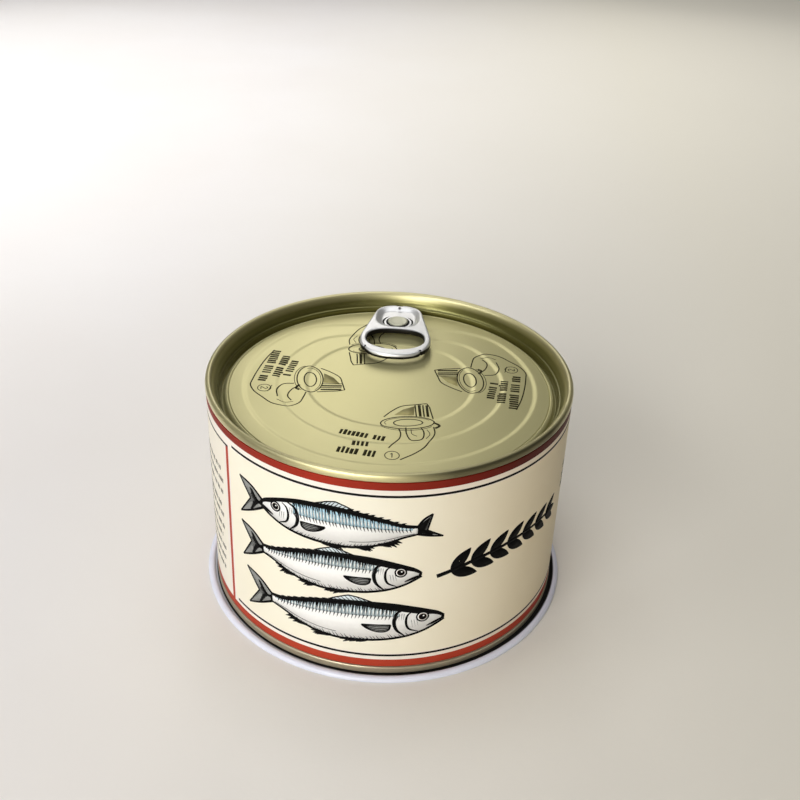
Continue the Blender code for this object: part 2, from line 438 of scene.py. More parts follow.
def calc(operation, *values, clamp=False):
    """The result of a Math node."""
    tree = next(value.tree for value in values if isinstance(value, Value))
    made = node(tree, "ShaderNodeMath", enumerate(values), operation=operation, use_clamp=clamp)
    return Value(made.outputs[0])


def blended(amount, low, high, blend_type="MIX"):
    """A colour between two others."""
    inputs = {0: amount, 6: low, 7: high}
    made = node(amount.tree, "ShaderNodeMix", inputs, data_type="RGBA", blend_type=blend_type)
    return Value(made.outputs[2])


def spread(value, from_low, from_high, to_low=0.0, to_high=1.0):
    """A value carried from one range to another and held at its ends."""
    names = ("Value", "From Min", "From Max", "To Min", "To Max")
    inputs = zip(names, (value, from_low, from_high, to_low, to_high))
    return Value(node(value.tree, "ShaderNodeMapRange", inputs).outputs["Result"])


def noise(tree, place, scale, detail):
    """Noise at a place, as a value."""
    made = node(tree, "ShaderNodeTexNoise", {"Vector": place, "Scale": scale, "Detail": detail})
    return Value(made.outputs["Fac"])


def object_place(tree):
    """Object coordinates as one vector."""
    return node(tree, "ShaderNodeTexCoord").outputs["Object"]


def xyz(tree):
    """Object coordinates as three values."""
    parts = node(tree, "ShaderNodeSeparateXYZ", {"Vector": object_place(tree)}).outputs
    return [Value(part) for part in parts]


def from_axis(x, y):
    """Distance from the tin's axis: the length of the vector of x and y."""
    flat = node(x.tree, "ShaderNodeCombineXYZ", {"X": x, "Y": y}).outputs[0]
    return Value(node(x.tree, "ShaderNodeVectorMath", {0: flat}, operation="LENGTH").outputs["Value"])


def from_front(x, y):
    """Angle round the tin from its front, growing to the right: the arc tangent of x over minus y."""
    return calc("ARCTAN2", x, y * -1.0)


def shared(name, inputs, outputs, fill):
    """A node group, made once: fill draws its nodes and returns its outputs in order."""
    if name in bpy.data.node_groups:
        return bpy.data.node_groups[name]
    tree = bpy.data.node_groups.new(name, "ShaderNodeTree")
    add_socket = tree.interface.new_socket
    for label, default in inputs.items():
        add_socket(label, in_out="INPUT", socket_type="NodeSocketFloat").default_value = default
    for label in outputs:
        add_socket(label, in_out="OUTPUT", socket_type="NodeSocketFloat")
    given = node(tree, "NodeGroupInput").outputs
    node(tree, "NodeGroupOutput", enumerate(fill(tree, *(Value(given[label]) for label in inputs))))
    return tree


def mottle_group():
    """Soft clouds and fine grain on Object coordinates, as two values from 0 to 1 and a height."""

    def fill(tree, cloud_scale, grain_scale, cloud_height, grain_height):
        place = object_place(tree)
        cloud = noise(tree, place, cloud_scale, 3.0)
        grain = noise(tree, place, grain_scale, 2.0)
        return spread(cloud, 0.3, 0.7), spread(grain, 0.3, 0.7), cloud * cloud_height + grain * grain_height

    inputs = {"Cloud scale": 40.0, "Grain scale": 1500.0, "Cloud height": 1.0, "Grain height": 0.3}
    return shared("clouds_and_grain", inputs, ("Cloud", "Grain", "Height"), fill)


def drawn_group():
    """Fine lines round the axis, as rolling leaves them: noise of radius and height, drawn out round it."""

    def fill(tree, line_scale):
        x, y, z = xyz(tree)
        turn = calc("COSINE", calc("ARCTAN2", y, x)) * 1.5
        stretched = enumerate((from_axis(x, y) * line_scale, turn, z * line_scale))
        along = node(tree, "ShaderNodeCombineXYZ", stretched).outputs[0]
        return (spread(noise(tree, along, 1.0, 3.0), 0.3, 0.7),)

    return shared("rolled_lines", {"Line scale": 6000.0}, ("Lines",), fill)


def placed(tree, kind, *values):
    """The outputs of a shared group placed in a material with its own values."""
    made = node(tree, "ShaderNodeGroup", enumerate(values), node_tree=kind)
    return [Value(output) for output in made.outputs]


def fresh(name):
    """A new material and its tree."""
    material = bpy.data.materials.new(name)
    material.use_nodes = True
    return material, material.node_tree


def dress(material, bump, inputs):
    """Feeds a material's shader: its inputs, and its normal from a height, a strength and a distance."""
    tree = material.node_tree
    shader = tree.nodes["Principled BSDF"]
    normal = node(tree, "ShaderNodeBump", zip(("Height", "Strength", "Distance"), bump)).outputs[0]
    for name, value in {**inputs, "Normal": normal}.items():
        join(shader.inputs[name], value)
    return material


def chosen(name):
    """A colour as the settings have it."""
    return tuple(getattr(bpy.context.scene.tin_colours, name))


def tinted(tone, factor):
    """A colour times a number, or times a number for each of its parts."""
    return tuple(np.clip(np.multiply(tone, factor), 0.0, 1.0).tolist())


def gold_material(name="lacquered_tinplate", lid=False, gold=None, metallic=0.9, rough=0.24):
    """Satin gold lacquer on tinplate: cloudy tint, fine grain and faint lines round the axis.

    On the lid the flat panel has a duller, milky lacquer. The drawn wall is darker, as painted
    shade. The rolled seam is rougher, with two darker stretches of painted dark reflection, and
    wall and seam have a clear coat.
    """
    if name in bpy.data.materials:
        return bpy.data.materials[name]
    gold = gold or chosen("gold")
    material, tree = fresh(name)
    cloud, grain, height = placed(tree, mottle_group(), 55.0, 1600.0, 1.0, 0.1)
    (lines,) = placed(tree, drawn_group(), 1500.0)
    tone = blended(spread(cloud, 0.0, 1.0, 0.0, 0.7), gold, tinted(gold, (0.9, 0.9, 0.84)))
    tone = blended(lines * 0.05, tone, (0.92, 0.90, 0.74))
    inputs = {"Metallic": metallic, "Roughness": grain * 0.03 + (lines * 0.02 + rough)}
    if lid:
        x, y, _ = xyz(tree)
        radius, turn = from_axis(x, y), from_front(x, y)
        panel = spread(radius, (WALL_MM[0] - 0.3) * MM, (WALL_MM[0] + 0.3) * MM, 1.0, 0.0)
        inside = spread(radius, (WALL_MM[1] - 0.4) * MM, (WALL_MM[1] + 0.4) * MM, 1.0, 0.0)
        wall, seam = (1.0 - panel) * inside, 1.0 - inside
        # Painted dark reflections: two stretches of the seam are darker and have less coat.
        stretches = []
        for *degrees, amount in SEAM_SHADE_DEG:
            start, full, fall, end = np.radians(degrees).tolist()
            stretches.append(spread(turn, start, full, 0.0, amount) * spread(turn, fall, end, 1.0, 0.0))
        left, right = stretches
        seam_shade = (left + right) * (seam * spread(radius, 50.2 * MM, 50.8 * MM, 0.3, 1.0))
        # Painted shade: the drawn wall is darker than the gold.
        tone = blended(wall, tone, tinted(gold, WALL_SHADE_TINT))
        tone = blended(seam_shade, tone, tinted(gold, 0.15))
        tone = blended(panel * 0.6, tone, PANEL_MILK)
        inputs = {
            "Metallic": wall * -0.1 + (panel * -0.24 + metallic),
            "Roughness": seam * 0.22 + (wall * 0.08 + (panel * 0.11 + inputs["Roughness"])),
            "Coat Weight": wall * 0.5 + (seam - seam_shade) * 0.8,
            "Coat Roughness": 0.28,
        }
    return dress(material, (lines * 0.04 + height, 0.02, 0.00002), {**inputs, "Base Color": tone})


def silver_material():
    """Bare stamped aluminium: brushed along the ring pull, scuffed, and dark low on its edges.

    The dark is painted shade below a height, outside the box round the well, higher up in
    the finger hole and at the front corners.
    """
    silver = chosen("silver")
    material, tree = fresh("stamped_aluminium")
    cloud, _, height = placed(tree, mottle_group(), 300.0, 4000.0, 0.6, 0.4)
    scuffed = blended(cloud * 0.5, silver, tinted(silver, 0.8))
    drawn_out = node(tree, "ShaderNodeMapping", {"Vector": object_place(tree), "Scale": BRUSH_SCALE})
    brush = noise(tree, drawn_out.outputs[0], 1.0, 2.0)
    x, y, z = xyz(tree)

    def below(level, heights):
        return spread(level, TOP + heights[0] * MM, TOP + heights[1] * MM, 1.0, 0.0)

    # Painted shade: the plate is near-black and not metallic low on its edges outside the well, higher in the
    # finger hole and at the front corners.
    corner = spread(y, 18.0 * MM, 21.5 * MM, 0.55 * MM, 0.0) * spread(abs(x), 6.0 * MM, 8.5 * MM)
    well_y, hole_y = y - TAB_WELL_MM[0] * MM, y - TAB_HOLE_MM[0] * MM
    across, along = (size * MM for size in WELL_ZONE_MM)
    outside = (abs(x) / across | abs(well_y) / along) > 1.0
    across, along = (size * MM for size in HOLE_ZONE_MM)
    in_hole = (x / across) ** 2.0 + (hole_y / along) ** 2.0 < 1.0
    dark = below(z - corner, TAB_SHADE_MM) * outside | below(z, TAB_HOLE_SHADE_MM) * in_hole
    return dress(material, (brush + height, 0.25, 0.00002), {
        "Base Color": blended(dark, scuffed, (0.006, 0.005, 0.004)),
        "Metallic": dark * -0.72 + 0.72,
        "Roughness": brush * 0.14 + 0.31,
        "Specular IOR Level": 0.15,
    })


def ink_material(name, tone, roughness=0.5, vary=0.25, shine=0.12):
    """A printed ink: slightly uneven in depth, with the paper's or metal's grain showing through."""
    if name in bpy.data.materials:
        return bpy.data.materials[name]
    material, tree = fresh(name)
    cloud, grain, height = placed(tree, mottle_group(), 900.0, 5000.0, 0.5, 0.5)
    return dress(material, (height, 0.2, 0.00001), {
        "Base Color": blended(cloud, tone, tinted(tone, 1 + vary)),
        "Roughness": grain * 0.12 + (roughness - 0.06),
        "Specular IOR Level": shine,
    })


def black_ink():
    """The label's black ink."""
    return ink_material("label_black", chosen("ink"), 0.55, shine=0.03)


def plastic_material():
    """Smooth white plastic, faintly textured and clouded, with painted shade in the gap beside the seam.

    The painted shade reaches further out towards +X.
    """
    white = chosen("plastic")
    material, tree = fresh("moulded_plastic")
    cloud, grain, height = placed(tree, mottle_group(), 120.0, 3000.0, 0.6, 0.3)
    x, y, _ = xyz(tree)
    # Painted shade: near-black in the gap beside the seam, reaching further out towards +X.
    shade_edge = spread(x, -0.01, 0.045, 51.4 * MM, 52.4 * MM)
    past_shade = calc("DIVIDE", from_axis(x, y) - shade_edge, 0.35 * MM, clamp=True)
    unshaded_white = blended(cloud, white, tinted(white, 0.95))
    return dress(material, (height, 0.2, 0.00002), {
        "Base Color": blended(past_shade, (0.012, 0.011, 0.010), unshaded_white),
        "Roughness": grain * 0.1 + 0.28,
        "IOR": 1.46,
    })


# ---------------------------------------------------------------- lid


def step_distance(x, y, step):
    """How far a point lies outside a step's outline, in millimetres.

    The larger of its distance outside the circle and its distance behind the straight back
    edge, with the two joined by a rounded corner.
    """
    radius, centre_y, back_y = step
    outside = np.hypot(x, y - centre_y) - radius
    behind = y - back_y
    corner = STEP_CORNER * radius
    share = np.clip(0.5 + 0.5 * (outside - behind) / corner, 0.0, 1.0)
    return behind + (outside - behind) * share + corner * share * (1 - share)


def panel_height(x, y):
    """Height of the lid's panel in metres over a point given in millimetres.

    The flat panel, less one eased drop for each step, plus two long shallow waves of a few
    hundredths of a millimetre, as thin sheet has.
    """
    sizes = bpy.context.scene.tin_sizes
    z = TOP - PANEL_DROP_MM * MM + np.zeros_like(x)
    width = sizes.step_width / MM
    for step in PANEL_STEPS_MM:
        z = z - sizes.step_drop * ease(0.5 - step_distance(x, y, step) / width)
    fade = ease((WAVE_EDGE_MM - np.hypot(x, y)) / WAVE_FADE_MM)
    wave = np.sin(x / 6.1 + 0.7) * np.cos(y / 7.3 - 0.4) + 0.7 * np.sin((x + 1.7 * y) / 9.5)
    return z + WAVE_MM * MM * fade * wave


def step_loop(step, grow, turn):
    """A step's outline moved outwards, as reach by direction from the step's centre.

    It is about the smaller of the distances to the circle and to the straight back: one over
    the reach is the root of the sum of the powers of one over both.
    """
    radius, centre_y, back_y = step
    power = 14
    round_part = 1 / (radius + grow)
    flat_part = np.maximum(np.sin(turn), 0) / (back_y - centre_y + grow)
    reach = (round_part**power + flat_part**power) ** (-1 / power)
    return reach[:, None] * compass(turn) + (0.0, centre_y)


class TIN_OT_lid(bpy.types.Operator):
    """Lid with its stepped panel, score line, groove, ledge and rolled seam, and the rivet"""

    bl_idname = "tin.lid"
    bl_label = "Lid and rivet"

    def execute(self, context):
        turn = angles()
        middle_y = PANEL_STEPS_MM[0][1]
        previous, parts, loops = np.array([0.0, middle_y]), np.linspace(0.06, 0.94, 14), []
        for step in PANEL_STEPS_MM:
            loops += part_way(previous, step_loop(step, -STEP_ZONE_MM, turn), parts)
            loops += [step_loop(step, grow, turn) for grow in np.linspace(-STEP_ZONE_MM, STEP_ZONE_MM, 19)]
            previous, parts = loops[-1], inner_parts(7)
        loops += part_way(previous, LID_EDGE_MM[0][0] * compass(turn), parts)
        flat = np.stack(loops)
        panel = np.dstack([flat * MM, panel_height(flat[..., 0], flat[..., 1])])
        edge = turned(below_top(smooth_path(LID_EDGE_MM, 150)))
        skirt = turned(below_top(LID_SKIRT_MM))
        tip = (0.0, middle_y * MM, float(panel_height(np.array(0.0), np.array(middle_y))))
        shell = loft(np.concatenate([panel, edge, skirt]), tip)
        put("lid", [(*shell, 0)], [gold_material("lid_tinplate", lid=True)], "top_end", slot="gold_lacquer")

        rivet = turned(below_top(smooth_path(RIVET_MM, 70)), 96)
        rivet[..., 1] += RIVET_Y_MM * MM
        tinplate = gold_material("rivet_tinplate", gold=RIVET_GOLD, metallic=0.6, rough=0.4)
        put("rivet", [(*loft(rivet), 0)], [tinplate], "top_end", slot="gold_lacquer")
        return {"FINISHED"}


# ---------------------------------------------------------------- ring pull


def rounded_box(outline, sides=OUTLINE_POINTS):
    """Edge points of a rounded box for each outward direction, and their reach in that direction.

    The box is the curve where the sum of the powers of x over half width and y over half
    length is one, found from the direction of its outward normal.
    """
    middle, half_width, half_length, square = outline
    way = compass(angles(sides))
    half = np.array([half_width, half_length])
    other = square / (square - 1)
    pull = np.abs(way * half)
    support = (pull**other).sum(axis=1) ** (1 / other)
    corner = half * np.sign(way) * (pull / support[:, None]) ** (other - 1)
    return corner + np.array([0.0, middle]), support + way[:, 1] * middle


def tab_outline():
    """The line drawn tight round the ring and the nose, with the small notches of the stamping."""
    ring, ring_reach = rounded_box(TAB_RING_MM)
    nose, nose_reach = rounded_box(TAB_NOSE_MM)
    line = even(np.where((ring_reach > nose_reach)[:, None], ring, nose), 2400, closed=True)
    out = normals(line)
    for x, y, depth, width in TAB_NOTCHES_MM:
        away = np.hypot(line[:, 0] - x, line[:, 1] - y)
        line = line - out * (depth * np.exp(-((away / width) ** 2)))[:, None]
    return line


def normals(line):
    """Outward directions of a closed line that runs anticlockwise: its tangent turned right."""
    return unit(-left_of(np.roll(line, -1, axis=0) - np.roll(line, 1, axis=0)))


def hole_line():
    """The finger hole: half an ellipse in front and a squarer half towards the rivet."""
    middle, half_width, front, back = TAB_HOLE_MM
    way = compass(angles(OUTLINE_POINTS))
    behind = way[:, 1] > 0
    shape = np.sign(way) * np.abs(way) ** np.where(behind, 2 / 2.8, 1.0)[:, None]
    reach = pairs(np.full(OUTLINE_POINTS, half_width), np.where(behind, back, front))
    return even(shape * reach + (0.0, middle), OUTLINE_POINTS, closed=True)


def matched(line, centre, targets):
    """Points of a closed line on the rays from a centre to the targets, and their outward directions."""
    known, wanted = (np.arctan2(*(points - centre).T[::-1]) for points in (line, targets))
    found, out = (read_off(wanted, known, points, period=2 * math.pi) for points in (line, normals(line)))
    return found, unit(out)


def half_outline(line, front, count):
    """The tab's outline in front of or behind the bridge, with its ends on the bridge's middle line."""
    side = line[:, 1] < TAB_BRIDGE_Y_MM if front else line[:, 1] > TAB_BRIDGE_Y_MM
    first = int(np.flatnonzero(side & ~np.roll(side, 1))[0])
    run = np.roll(np.arange(len(line)), -first)[: int(side.sum())]
    points = line[run].copy()
    points[[0, -1], 1] = TAB_BRIDGE_Y_MM
    wanted, known = np.linspace(0, len(run) - 1, count), np.arange(len(run))
    ways = unit(read_off(wanted, known, normals(line)[run]))
    for end in (0, -1):
        ways[end] = (1.0 / ways[end, 0], 0.0)
    return read_off(wanted, known, points), ways


def tab_half(front, line, top, edge, count):
    """Points and faces of the tab on one side of the bridge's middle line.

    Each column runs round the plate's section: under the plate to the outer edge, round it in
    half an ellipse, over the top, and round or down the inner edge. Columns that end on the
    bridge's middle line have no outer edge, and their faces there are left out, so that the
    two sides meet as one skin.
    """
    half, mid = (top - TAB_BOTTOM_MM) / 2, (top + TAB_BOTTOM_MM) / 2
    rim, way = half_outline(line, front, count)
    ends = rim[[0, -1]] - way[[0, -1]] * edge
    inside = np.linspace(ends[1], ends[0], 42)[1:-1]
    rim_in = np.vstack([rim - way * edge, inside])
    rim = np.vstack([rim, inside])
    way = np.vstack([way, np.zeros_like(inside)])
    rows = []

    def row(points, z):
        rows.append(np.column_stack([points, np.full(len(rim), z)]))

    def rounded(border, inwards, turns):
        for a in turns:
            row(border + inwards * edge * (1 - math.cos(a)), mid + half * math.sin(a))

    turns = np.linspace(-math.pi / 2, math.pi / 2, 15)
    if front:
        hole, out = matched(hole_line(), (0.0, TAB_HOLE_MM[0]), rim)
        rounded(hole, out, turns)
        inner = under = hole + out * edge
    else:
        well = even(rounded_box(TAB_WELL_MM)[0], OUTLINE_POINTS, closed=True)
        well, out = matched(well, (0.0, TAB_WELL_MM[0]), rim)
        rivet = np.array([0.0, RIVET_Y_MM])
        under = unit(well - rivet) * TAB_BORE_MM + rivet
        foot = well - out * TAB_FOOT_MM
        row(under, TAB_BOTTOM_MM)
        for floor in part_way(under, foot, np.linspace(0, 1, 9)[:-1]):
            row(floor, TAB_FLOOR_MM)
        for part in np.linspace(0, 1, 15):
            row(foot + out * TAB_SLOPE_MM * part, TAB_FLOOR_MM + (top - TAB_FLOOR_MM) * float(ease(part)))
        inner = foot + out * TAB_SLOPE_MM
    for flat in part_way(inner, rim_in, inner_parts(5)):
        row(flat, top)
    first = len(rows)
    rounded(rim, -way, turns[::-1])
    last = len(rows) - 1
    for flat in part_way(rim_in, under, inner_parts(5)):
        row(flat, TAB_BOTTOM_MM)
    faces = grid_faces(len(rows), len(rim), wrap_rows=True, wrap_cols=True)
    keep = np.ones(faces.shape[:2], bool)
    keep[first:last, count - 1 :] = False
    return np.vstack(rows), faces[keep]


class TIN_OT_ring_pull(bpy.types.Operator):
    """Ring pull: rounded border, finger hole, sunk floor round the rivet, and painted shade in its two slits,
    round the rivet's foot and in the notches
    """

    bl_idname = "tin.ring_pull"
    bl_label = "Ring pull"

    def execute(self, context):
        sizes = context.scene.tin_sizes
        top, edge = -sizes.tab_top / MM, sizes.tab_round / MM
        line = tab_outline()
        shells = []
        for front in (True, False):
            points, faces = tab_half(front, line, top, edge, 260)
            shells.append((points * MM + np.array([0.0, 0.0, TOP]), [faces[:, ::-1]], 0))
        put("ring_pull", shells, [silver_material()], "pull_tab", slot="tab_aluminium", merge=0.002 * MM)

        # Painted shade: the two slits as dark strips, a dark ring round the rivet's foot, and dark spots in
        # the notches.
        rivet = np.array([0.0, RIVET_Y_MM])
        marks = []
        for start, end in ((-35, 50), (130, 215)):
            turn = np.radians(np.linspace(start, end, 15))
            path = 4.3 * compass(turn) * (1.05, 1.0) + rivet
            marks.append(ribbon(path, 0.6 * np.sin(np.linspace(0.25, math.pi - 0.25, 15))))
        marks.append(ribbon(oval(rivet, 3.3, 3.35), 0.75))
        marks += [spot(centre, *half_size, 9) for centre, half_size in TAB_MARKS_MM]

        def on_tab(points, lift):
            on_border = np.abs(points[..., 1] - RIVET_Y_MM) > 6.5
            z = TOP + np.where(on_border, -sizes.tab_top, TAB_FLOOR_MM * MM) + lift
            return np.dstack([points * MM, z])

        dark = ink_material("slit_shadow", (0.02, 0.02, 0.02), 0.7)
        print_piece("ring_pull_slits", [(mark, 1, 0) for mark in marks], on_tab, [dark], "tab_aluminium")
        return {"FINISHED"}


# ---------------------------------------------------------------- ink


def ribbon(path, width):
    """A strip along a path: each point moved half the width to the right and to the left of its tangent."""
    left = unit(left_of(np.gradient(path, axis=0)))
    half = (np.broadcast_to(width, (len(path),)) / 2)[:, None]
    return np.stack([path - left * half, path + left * half], axis=1)[None]


def curve(keys, width, count=None, taper=False):
    """A strip along a smooth curve through key points, narrowing to its ends if tapered."""
    keys = np.asarray(keys, float)
    count = count or int(max(6, np.hypot(*np.diff(keys, axis=0).T).sum() / 0.45))
    narrowing = np.sin(math.pi * (0.08 + 0.84 * np.linspace(0, 1, count))) if taper else 1.0
    return ribbon(smooth_path(keys, count), width * narrowing)


def oval(centre, half_width, half_height, tilt=0.0, start=0.0, end=360.0, count=40):
    """Points of an ellipse turned by a tilt, between two angles."""
    flat = compass(np.radians(np.linspace(start, end, count))) * (half_width, half_height)
    along = compass(math.radians(tilt))
    return flat[:, :1] * along + flat[:, 1:] * left_of(along) + np.asarray(centre, float)


def between(low, high):
    """A filled shape between a lower and an upper line with the same number of points."""
    return np.stack([low, high], axis=1)[None]


def spot(centre, half_width, half_height=None, count=25):
    """A filled circle or ellipse: the space between its lower and upper halves."""
    turn = np.linspace(math.pi, 0, count)
    x = centre[0] + half_width * np.cos(turn)
    rise = (half_height or half_width) * np.sin(turn)
    return between(pairs(x, centre[1] - rise), pairs(x, centre[1] + rise))


def strokes(feet, tips, width):
    """Many straight strokes at once, each from its foot to its tip, narrowing to the tip."""
    along = (tips - feet)[:, None]
    middle = feet[:, None] + along * np.array([0.0, 0.5, 1.0])[:, None]
    half = (np.broadcast_to(width, (len(feet),))[:, None] * np.array([0.5, 0.42, 0.08]))[..., None]
    side = unit(left_of(along)) * half
    return np.stack([middle - side, middle + side], axis=2)


def blocks(start, end, height, seed, pitch=0.95, fill=0.7):
    """A row of small upright bars in groups, standing for a line of small print."""
    start, end = np.asarray(start, float), np.asarray(end, float)
    size = np.hypot(*(end - start))
    along = (end - start) / size
    random = np.random.default_rng(seed)
    at = np.arange(pitch / 2, size, pitch)
    gap = np.zeros(len(at), bool)
    words = np.cumsum(random.integers(4, 8, 40))
    gap[words[words < len(at)]] = True
    at = at[~gap]
    half = along * (pitch * fill * random.uniform(0.75, 1.1, len(at)) / 2)[:, None]
    rise = left_of(along) * (height * random.uniform(0.8, 1.0, len(at)))[:, None]
    base = start + along * at[:, None]
    foot = np.stack([base - half, base + half], axis=1)[:, :, None]
    return foot + rise[:, None, None] * np.linspace(0, 1, 6)[:, None]


def print_piece(name, sheets, mapping, inks, slot):
    """Ink as thin slabs: each flat shape of many grids is laid on its surface at its layer's height.

    Each grid is turned so that its face looks up, judged by two of its sides at mid-length.
    """
    sizes = bpy.context.scene.tin_sizes
    shells = []
    for grids, layer, ink in sheets:
        rows, cols = grids.shape[1:3]
        mid = rows // 2 if rows > 2 else 0
        onwards = grids[:, max(mid, 1), 0] - grids[:, max(mid, 1) - 1, 0]
        across = grids[:, mid, -1] - grids[:, mid, 0]
        face_down = (left_of(onwards) * across).sum(axis=1) < 0
        grids = np.where(face_down[:, None, None, None], grids[:, :, ::-1], grids)
        points = mapping(grids.reshape(len(grids), -1, 2), layer * sizes.ink_step)
        faces = grid_faces(rows, cols).reshape(-1, 4)
        start = np.arange(len(grids)) * rows * cols
        shells.append((points.reshape(-1, 3), [(faces[None] + start[:, None, None]).reshape(-1, 4)], ink))
    body = put(name, shells, inks, slot=slot).modifiers.new("ink_depth", "SOLIDIFY")
    body.thickness = sizes.ink_depth
    body.offset = -1.0
    body.use_rim = True


def on_label(points, lift):
    """Carries a drawing round the label: x runs round it from the front, y up from the seam's top."""
    label_radius = bpy.context.scene.tin_sizes.label_radius
    turn = points[..., 0] * MM / label_radius
    radius = label_radius + lift
    return np.stack([radius * np.sin(turn), -radius * np.cos(turn), TOP + points[..., 1] * MM], axis=-1)


def on_lid(points, lift):
    """Lays a drawing on the lid's panel at its own height."""
    return np.dstack([points * MM, panel_height(points[..., 0], points[..., 1]) + lift])


# ---------------------------------------------------------------- label


# Heights on the label from the seam's top: where the red bands end, the pale strips beside them,
# the margins, the top of the red rules, and the black rules: the upper one in the main field,
# the same in the other fields, and the lower one.
BAND_EDGES, STRIPS = (-4.5, -60.55), ((-7.0, -4.4), (-60.6, -58.4))
MARGIN_REACH, RED_RULE_TOP = (-60.4, -7.0), -7.3
RULE_UPPER, RULE_UPPER_SIDES, RULE_LOWER = (-6.68, -5.96), (-7.86, -7.2), (-59.36, -58.64)
# Distances round the label from the front: the pale margins and the red rules in them, the main
# field, the one left of it and where the back one starts, and the panel of small print.
MARGINS = ((-48.2, -44.6), (82.6, 86.2), (-86.2, -82.6))
RED_RULES = ((-46.7, -45.35), (83.9, 84.9), (-84.9, -83.9))
MAIN_FIELD, LEFT_FIELD, BACK_FIELD, TEXT_PANEL = (-43.3, 81.5), (-81.5, -45.5), 87.5, (-84.0, -46.0)
# The upright rules lean: with height they shift by this share of it, from this height.
LEAN, LEAN_FROM = -0.022, -7.0


def label_bands(tree):
    """The label's fields of colour: bands by height, rules by distance round the tin.

    The upper band is darker at both sides, where painted shadow under the seam darkens it, and
    evens out towards the back. The lower one is brighter and warmer.
    """
    cream, white, red, ink = (chosen(name) for name in ("cream", "white", "red", "ink"))
    x, y, z = xyz(tree)
    height = z / MM - TOP / MM
    arc = from_front(x, y) * (bpy.context.scene.tin_sizes.label_radius / MM)
    skew = arc + (height - LEAN_FROM) * LEAN

    def within(value, *ranges):
        masks = [(value > low) * (value < high) for low, high in ranges]
        total = masks[0]
        for mask in masks[1:]:
            total = total | mask
        return total

    bright = within(height, *STRIPS) | within(skew, *MARGINS) * within(height, MARGIN_REACH)
    bands = (height > BAND_EDGES[0]) | (height < BAND_EDGES[1])
    reds = bands | within(skew, *RED_RULES) * (height < RED_RULE_TOP)
    front, back = within(skew, MAIN_FIELD), (skew > BACK_FIELD) | (skew < -BACK_FIELD)
    upper = within(height, RULE_UPPER) * front
    upper_sides = within(height, RULE_UPPER_SIDES) * (within(skew, LEFT_FIELD) | back)
    lower = within(height, RULE_LOWER) * (front | back)
    # Painted shadow under the seam: the upper band's red darkens far round both sides, less towards the back.
    unshaded_share = spread(arc, -12.0, 40.0, 1.0, RED_SHADED_RIGHT) * spread(arc, -45.0, -14.0, RED_SHADED_LEFT, 1.0)
    unshaded_share = (1.0 - unshaded_share) * spread(abs(arc), 80.0, 150.0) + unshaded_share
    upper_red = blended(unshaded_share, tinted(red, 0.05), red)
    both_reds = blended(spread(height, -9.0, -7.0), tinted(red, RED_LOW), upper_red)
    ground = blended(within(skew, TEXT_PANEL), cream, tinted(np.add(cream, white), 0.5))
    fields = blended(reds, blended(bright, ground, white), both_reds)
    return blended(upper | upper_sides | lower, fields, ink)


def paper_material():
    """Printed paper with a thin varnish: fields of colour, fine fibres, slight yellowing, and painted warm
    light towards +X.
    """
    material, tree = fresh("varnished_paper")
    cloud, grain, height = placed(tree, mottle_group(), 45.0, 3500.0, 0.5, 0.5)
    aged = blended(cloud * 0.6, label_bands(tree), (0.955, 0.94, 0.905), "MULTIPLY")
    # Painted warm light: the label is warmer towards +X.
    painted_warm_light = spread(xyz(tree)[0], 0.0, 0.045)
    return dress(material, (height, 0.3, 0.00003), {
        "Base Color": blended(painted_warm_light, aged, (1.0, 0.92, 0.80), "MULTIPLY"),
        "Roughness": grain * 0.12 + 0.42,
        "IOR": 1.45,
        "Specular IOR Level": 0.14,
    })


def label_sleeve():
    """The paper sleeve: a tube whose outside rises by a tenth of a millimetre where it laps at the back."""
    radius = bpy.context.scene.tin_sizes.label_radius
    turn = angles()
    behind = (turn - math.pi / 2) * radius / MM
    lap = 0.1 * MM * ease((behind + 9.0) / 0.6) * ease((4.0 - behind) / 14.0)
    drops = np.concatenate([[0.0, 0.06, 0.2], np.linspace(1.5, 59.25, 24), [60.55, 60.69, 60.75]])
    inset = np.zeros(len(drops))
    inset[[0, -1]], inset[[1, -2]] = 0.1 * MM, 0.02 * MM
    outer = radius + lap[None] - inset[:, None]
    z = TOP - (LABEL_TOP_MM + drops) * MM
    skin = np.dstack([outer[..., None] * compass(turn), np.broadcast_to(z[:, None], outer.shape)])
    inner = turned(pairs(np.full(2, LABEL_INNER_MM * MM), z[[-1, 0]]))
    loops = np.concatenate([skin, inner])
    faces = grid_faces(len(loops), AROUND, wrap_rows=True, wrap_cols=True).reshape(-1, 4)
    return outward(loops.reshape(-1, 3), [faces])


class TIN_OT_label(bpy.types.Operator):
    """Paper label with its bands and rules"""

    bl_idname = "tin.label"
    bl_label = "Label"

    def execute(self, context):
        put("label_sleeve", [(*label_sleeve(), 0)], [paper_material()], "label", slot="label_paper")
        return {"FINISHED"}


# ---------------------------------------------------------------- fish


# How far along from tail to nose, and the height of the back or depth of the belly, as parts of the length.
BACK_LINE = (
    (0, .030), (.08, .044), (.17, .076), (.27, .107), (.38, .132), (.5, .144), (.61, .143), (.72, .130),
    (.83, .099), (.91, .068), (.97, .038), (1, .010),
)
BELLY_LINE = (
    (0, .028), (.08, .046), (.17, .082), (.27, .112), (.38, .130), (.5, .133), (.61, .128), (.72, .117),
    (.81, .100), (.88, .077), (.95, .044), (1, .014),
)
# Gill cover and cheek: part of the length, and share of the back's height or the belly's depth; and width.
GILL_LINES = (
    (((.790, .80), (.744, .56), (.722, .06), (.735, -.50), (.778, -.95)), 1.0),
    (((.828, .74), (.799, .46), (.787, .0), (.800, -.50), (.852, -.90)), 0.66),
)
# Mouth: part of the length and height; and width.
MOUTH_LINES = (
    (((1.0, -0.1), (.985, -.4), (.955, -.95), (.900, -2.0)), 0.72),
    (((.985, -.95), (.96, -1.5), (.915, -2.5)), 0.34),
)
